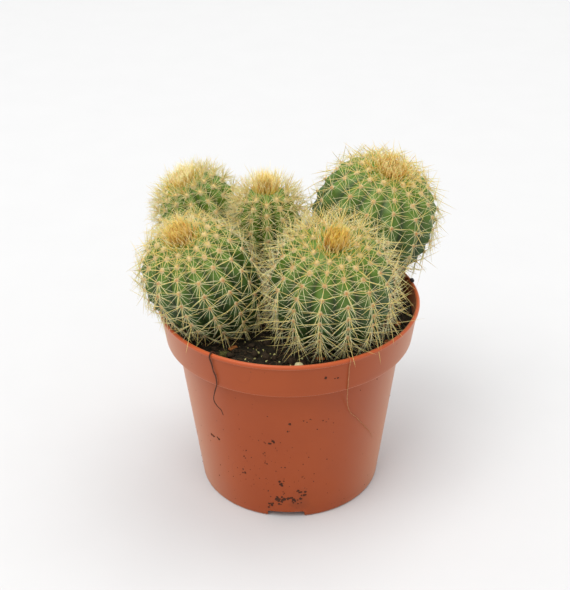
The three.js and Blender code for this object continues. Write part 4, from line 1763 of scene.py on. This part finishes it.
    def build_sand(self, shop: Workshop, grain: bpy.types.Material) -> None:
        """Scatters fine pale sand among the crumbs."""
        count = 260
        flat = self.bed.scattered(count, 2.0)
        size = self.rng.uniform(0.35, 1.1, count)
        centres = np.column_stack([flat, self.bed.height_at(flat) + 0.3 * size])
        lumps = Lumps(self.rng, level=2, roughness=0.2)
        data = lumps.scatter(centres, size[:, None] * self.rng.uniform(0.7, 1.1, (count, 3)), {})
        shop.place(shop.mesh("fine_sand", data), grain, "grit")


@dataclass
class RootStrand:
    """A dried root that comes out of the soil and hangs over the rim.

    The route below the rim is an angle from +X in degrees, a drop below the rim and a
    distance off the pot's side.
    """

    name: str
    radius: float
    finish: GrainFinish
    slot: str
    route: tuple[tuple[float, float, float], ...]
    gap: float = 0.25

    def path(self, pot: NurseryPot, soil_z: float) -> Array:
        """The strand's middle line.

        Args:
            pot: The pot that it hangs on.
            soil_z: The soil's height at its edge.

        Returns:
            Rows of points.
        """
        stand = self.radius + self.gap
        angle = self.route[0][0]
        lip = pot.rim_radius - pot.lip_radius
        reach = pot.lip_radius + stand
        rows = [
            (angle + 1.5, lip - 2 * reach - 3, soil_z + stand + 0.1),
            (angle + 1, lip - 2 * reach, soil_z + 0.35 * (pot.height - soil_z)),
            (angle + 0.5, lip - 1.25 * reach, pot.height - pot.lip_radius),
        ]
        for degrees in (130, 90, 45, 0):
            turn = math.radians(degrees)
            rows.append((angle, lip + 1.06 * reach * math.cos(turn),
                         pot.height - pot.lip_radius + 1.06 * reach * math.sin(turn)))
        for degrees, drop, off in self.route:
            z = pot.height - drop
            rows.append((degrees, float(pot.outside(z)) + off + stand + 0.15, z))
        turns = np.radians([row[0] for row in rows])
        radii = np.array([row[1] for row in rows])
        return np.column_stack([radii * np.cos(turns), radii * np.sin(turns), [row[2] for row in rows]])

    def build(self, shop: Workshop, effects: Effects, pot: NurseryPot, soil_z: float) -> None:
        """Makes the strand.

        Args:
            shop: Where the pieces are made.
            effects: The shared shader effects.
            pot: The pot that it hangs on.
            soil_z: The soil's height at its edge.
        """
        knots = self.path(pot, soil_z)
        line = self.curve(knots, 8)
        steps = len(line)
        share = np.linspace(0, 1, steps)
        kinks = np.column_stack([ripple(line, 4.0, 31.0 + i) for i in range(3)])
        line = line + 0.22 * kinks * smooth((share - 0.3) / 0.1)[:, None]
        tangent = unit(np.gradient(line, axis=0))
        side = unit(np.cross(tangent, [[0.13, 0.09, 1.0]]))
        other = np.cross(tangent, side)
        swell = 1 + 0.22 * ripple(line, 2.2, 7.0)
        radius = self.radius * swell * (1 - 0.55 * share**3)
        sides = 10
        angle = np.arange(sides) * 2 * math.pi / sides
        ring = np.cos(angle)[:, None] * side[:, None] + np.sin(angle)[:, None] * other[:, None]
        points = (line[:, None] + radius[:, None, None] * ring).reshape(-1, 3)
        quads, triangles = ring_faces(steps, sides)
        data = MeshData(np.concatenate([points, line[:1], line[-1:]]), quads, triangles)
        mesh = shop.mesh("dried_" + self.name, data)
        shop.place(mesh, self.finish.build(effects), self.slot, (self.name,))

    @staticmethod
    def curve(knots: Array, steps: int) -> Array:
        """A smooth line through points.

        Args:
            knots: The points.
            steps: How many short runs there are between two points.

        Returns:
            Rows of points.
        """
        padded = np.concatenate([2 * knots[:1] - knots[1:2], knots, 2 * knots[-1:] - knots[-2:-1]])
        line = []
        for i in range(len(knots) - 1):
            a, b, c, d = padded[i : i + 4]
            for t in np.arange(steps) / steps:
                line.append(0.5 * (2 * b + (c - a) * t + (2 * a - 5 * b + 4 * c - d) * t**2
                                   + (3 * b - a - 3 * c + d) * t**3))
        return np.array([*line, knots[-1]])


@dataclass
class PotSpecks:
    """Flecks of dried peat that stick to the outside of the pot."""

    pot: NurseryPot
    seed: int = 63
    finish: GrainFinish = GrainFinish("stuck_peat", 0.9, 0.2, first="38201A", second="56301F", speck="6E4630",
                                      scale=900.0, specks=0.3, relief=0.7, height=0.0003)
    # Each cluster: angle from +X in degrees, height, spread sideways and up, flecks, size.
    clusters: tuple[tuple[float, float, float, float, int, float], ...] = (
        (-97.4, 10.2, 1.6, 1.1, 16, 1.15), (-91.0, 11.9, 1.5, 0.8, 9, 1.0), (-83.6, 14.4, 1.2, 1.8, 12, 1.0),
        (-87.1, 10.6, 1.2, 0.9, 7, 0.9), (-102.4, 7.8, 0.8, 1.0, 7, 0.9), (-96.2, 21.6, 0.8, 1.2, 5, 0.9),
        (-94.4, 15.5, 0.6, 0.8, 3, 0.7), (-102.0, 16.0, 1.2, 2.0, 3, 0.5), (-82.3, 25.2, 0.5, 0.5, 2, 0.6),
        (-138.7, 39.5, 1.2, 0.5, 4, 0.9), (-133.4, 39.7, 0.5, 0.4, 2, 1.0), (-99.1, 46.7, 0.8, 0.8, 5, 0.9),
        (-102.0, 45.6, 0.6, 0.5, 3, 0.8), (-90.0, 57.7, 0.3, 0.3, 1, 1.0), (-90.1, 53.7, 0.9, 0.2, 3, 0.6),
        (-118.0, 25.2, 0.7, 0.7, 3, 0.8), (-116.9, 34.4, 1.5, 0.8, 4, 0.5), (-103.7, 33.5, 0.5, 0.4, 2, 0.8),
        (-94.2, 32.2, 0.4, 0.4, 2, 0.7), (-104.3, 40.0, 0.8, 1.5, 3, 0.5), (-80.4, 38.0, 0.3, 0.3, 1, 0.8),
        (-78.4, 58.8, 4.0, 1.6, 9, 0.5), (-70.9, 85.3, 0.5, 0.3, 2, 0.9), (-74.5, 86.6, 0.3, 0.2, 1, 0.9),
        (-53.1, 69.6, 0.3, 0.3, 1, 0.7), (-40.4, 70.8, 0.8, 0.4, 2, 0.7), (-102.6, 61.6, 0.3, 0.3, 1, 0.7),
        (-107.3, 47.6, 3.0, 0.8, 5, 0.4), (-100.0, 28.0, 12.0, 12.0, 60, 0.4),
        (-90.0, 40.0, 50.0, 22.0, 40, 0.3),
        (70.0, 30.0, 60.0, 20.0, 60, 0.4), (150.0, 9.0, 14.0, 4.0, 40, 0.8), (30.0, 10.0, 12.0, 4.0, 30, 0.8),
    )

    def build(self, shop: Workshop, effects: Effects) -> None:
        """Makes the flecks.

        Args:
            shop: Where the pieces are made.
            effects: The shared shader effects.
        """
        rng = np.random.default_rng(self.seed)
        points, sizes, turns = [], [], []
        for degrees, z, wide, tall, count, size in self.clusters:
            height = np.clip(z + tall * rng.standard_normal(count), 4.5, self.pot.height - 4)
            angle = np.radians(degrees + np.degrees(wide / 45) * rng.standard_normal(count))
            radius = self.pot.outside(height)
            points.append(np.column_stack([radius * np.cos(angle), radius * np.sin(angle), height]))
            sizes.append(1.15 * size * rng.uniform(0.5, 1.25, count))
            turns.append(angle)
        centre, size, turn = np.concatenate(points), np.concatenate(sizes), np.concatenate(turns)
        shapes, triangles = ball(2)
        rows = []
        for i in range(len(size)):
            shape = shapes * (1 + 0.45 * ripple(shapes, 0.7, i * 0.37)[:, None])
            shape = shape * size[i] / 2 * [0.45, 1.0, rng.uniform(0.7, 1.3)]
            cos, sin = math.cos(turn[i]), math.sin(turn[i])
            rows.append(shape @ np.array([[cos, sin, 0], [-sin, cos, 0], [0, 0, 1]]) + centre[i])
        faces = triangles[None] + (np.arange(len(rows)) * len(shapes))[:, None, None]
        data = MeshData(np.concatenate(rows), triangles=faces.reshape(-1, 3))
        shop.place(shop.mesh("peat_specks_on_pot", data, 50), self.finish.build(effects), "crumb")


# ---- Studio ------------------------------------------------------------------------


@dataclass
class Studio:
    """A plain pale floor, soft light and the camera.

    The aim and the distance are in millimetres, the elevation and the roll in radians, and
    half the floor's side in metres.
    """

    axis_x: float
    aim: tuple[float, float, float] = (-1.8, 0.0, 95.0)
    distance: float = 572.2
    elevation: float = 0.515
    roll: float = -0.009
    lens: float = 75.99
    floor_colour: str = "CFCFCF"
    floor_grain: str = "D2D2D2"
    floor_side: float = 6.0
    sky_strength: float = 0.82

    def build(self) -> None:
        """Sets up the floor, the lights, the sky and the camera."""
        self.floor()
        self.sky()
        self.lamp("key", (-1100, -1100, 3100), (0, 0, 60), 2300, 68.0)
        self.lamp("top", (600, 700, 3000), (0, 0, 80), 2100, 34.0)
        self.camera()

    def floor(self) -> None:
        """The floor, with a faint grain."""
        mesh = bpy.data.meshes.new("floor")
        side = self.floor_side
        corners = [(-side, -side, 0), (side, -side, 0), (side, side, 0), (-side, side, 0)]
        mesh.from_pydata(corners, [], [(0, 1, 2, 3)])
        material = bpy.data.materials.new("floor_white")
        material.use_nodes = True
        tree = Tree(material.node_tree)
        shader = material.node_tree.nodes["Principled BSDF"]
        shader.inputs["Roughness"].default_value = 0.9
        shader.inputs["Specular IOR Level"].default_value = 0.1
        paint = tree.mix(tree.grain(tree.place(), 30.0), linear(self.floor_colour), linear(self.floor_grain))
        tree.feed(shader.inputs["Base Color"], paint)
        mesh.materials.append(material)
        piece = bpy.data.objects.new("floor", mesh)
        bpy.context.scene.collection.objects.link(piece)

    def sky(self) -> None:
        """Even light from all round."""
        world = bpy.data.worlds.new("studio")
        world.use_nodes = True
        background = world.node_tree.nodes["Background"]
        background.inputs["Color"].default_value = (1.0, 1.0, 1.0, 1.0)
        background.inputs["Strength"].default_value = self.sky_strength
        bpy.context.scene.world = world
        bpy.context.scene.view_settings.view_transform = "Standard"

    def lamp(self, name: str, place: tuple, towards: tuple, size: float, power: float) -> None:
        """A square soft light.

        Args:
            name: Its name.
            place: Where it is, in millimetres from the pot's axis.
            towards: What it points at.
            size: Its side.
            power: Its power in watts.
        """
        light = bpy.data.lights.new(name, "AREA")
        light.shape = "SQUARE"
        light.size = size * MM
        light.energy = power
        made = bpy.data.objects.new(name, light)
        offset = Vector((self.axis_x, 0, 0))
        made.location = (Vector(place) + offset) * MM
        way = Vector(towards) - Vector(place)
        made.rotation_euler = way.to_track_quat("-Z", "Y").to_euler()
        bpy.context.scene.collection.objects.link(made)

    def camera(self) -> None:
        """The camera, a little above the rim and looking down at the crowns."""
        data = bpy.data.cameras.new("camera")
        data.lens = self.lens
        data.sensor_width = 36
        made = bpy.data.objects.new("camera", data)
        cos, sin = math.cos(self.elevation), math.sin(self.elevation)
        aim = (Vector(self.aim) + Vector((self.axis_x, 0, 0))) * MM
        back = Vector((0, -cos, sin))
        right, up = Vector((1, 0, 0)), Vector((0, sin, cos))
        across = right * math.cos(self.roll) + up * math.sin(self.roll)
        upward = up * math.cos(self.roll) - right * math.sin(self.roll)
        turn = Matrix((across, upward, back)).transposed()
        made.matrix_world = Matrix.Translation(aim + back * self.distance * MM) @ turn.to_4x4()
        bpy.context.scene.collection.objects.link(made)
        bpy.context.scene.camera = made


# ---- The whole object --------------------------------------------------------------


def strands() -> list[RootStrand]:
    """The two dried roots that hang over the rim."""
    dark = GrainFinish("dark_root", 0.8, 0.3, first="331C14", second="52301F", speck="74492F",
                       scale=900.0, specks=0.3, relief=0.7, height=0.0002)
    tan = GrainFinish("tan_root", 0.8, 0.3, first="A8683E", second="C28A5C", speck="7A4A2C",
                      scale=900.0, specks=0.3, relief=0.6, height=0.0002)
    return [
        RootStrand("root_strand_left", 0.32, dark, "root_dark", (
            (-124.3, 4, 0), (-123.7, 9, 0), (-122.9, 12, 0), (-123, 15.5, 0), (-124.9, 21, 4.6),
            (-126.3, 26, 4.5), (-125.4, 29.5, 4), (-123.6, 31.5, 3.6), (-123.2, 34.5, 3),
        )),
        RootStrand("root_strand_right", 0.19, tan, "root_tan", (
            (-64.9, 4, 0), (-64.7, 9, 0), (-64.6, 15, 0), (-63.8, 20.5, 3.8), (-62.4, 26, 2.2),
            (-60.4, 31, 0.8), (-57.5, 36, 0), (-52.5, 41, 0), (-45.8, 48.6, 0), (-41.7, 53, 0),
            (-35.9, 60, 0),
        )),
    ]


def main() -> None:
    """Builds the pot, the soil, the cacti and what lies round them, then the studio."""
    logging.basicConfig(level=logging.INFO, format="%(name)s: %(message)s")
    effects = Effects()
    pot = NurseryPot()
    shop = Workshop(pot.axis_x)
    shell = pot.build(shop, effects)
    garden = Garden(pot.height - SoilBed.drop)
    bed = SoilBed(pot, garden.cacti)
    crust = bed.build(shop, effects)
    garden.build(shop, effects, [shell.data, crust])
    Trimmings(bed).build(shop, effects)
    for strand in strands():
        strand.build(shop, effects, pot, bed.edge_z)
    PotSpecks(pot).build(shop, effects)
    Studio(pot.axis_x).build()


if __name__ == "__main__":
    main()
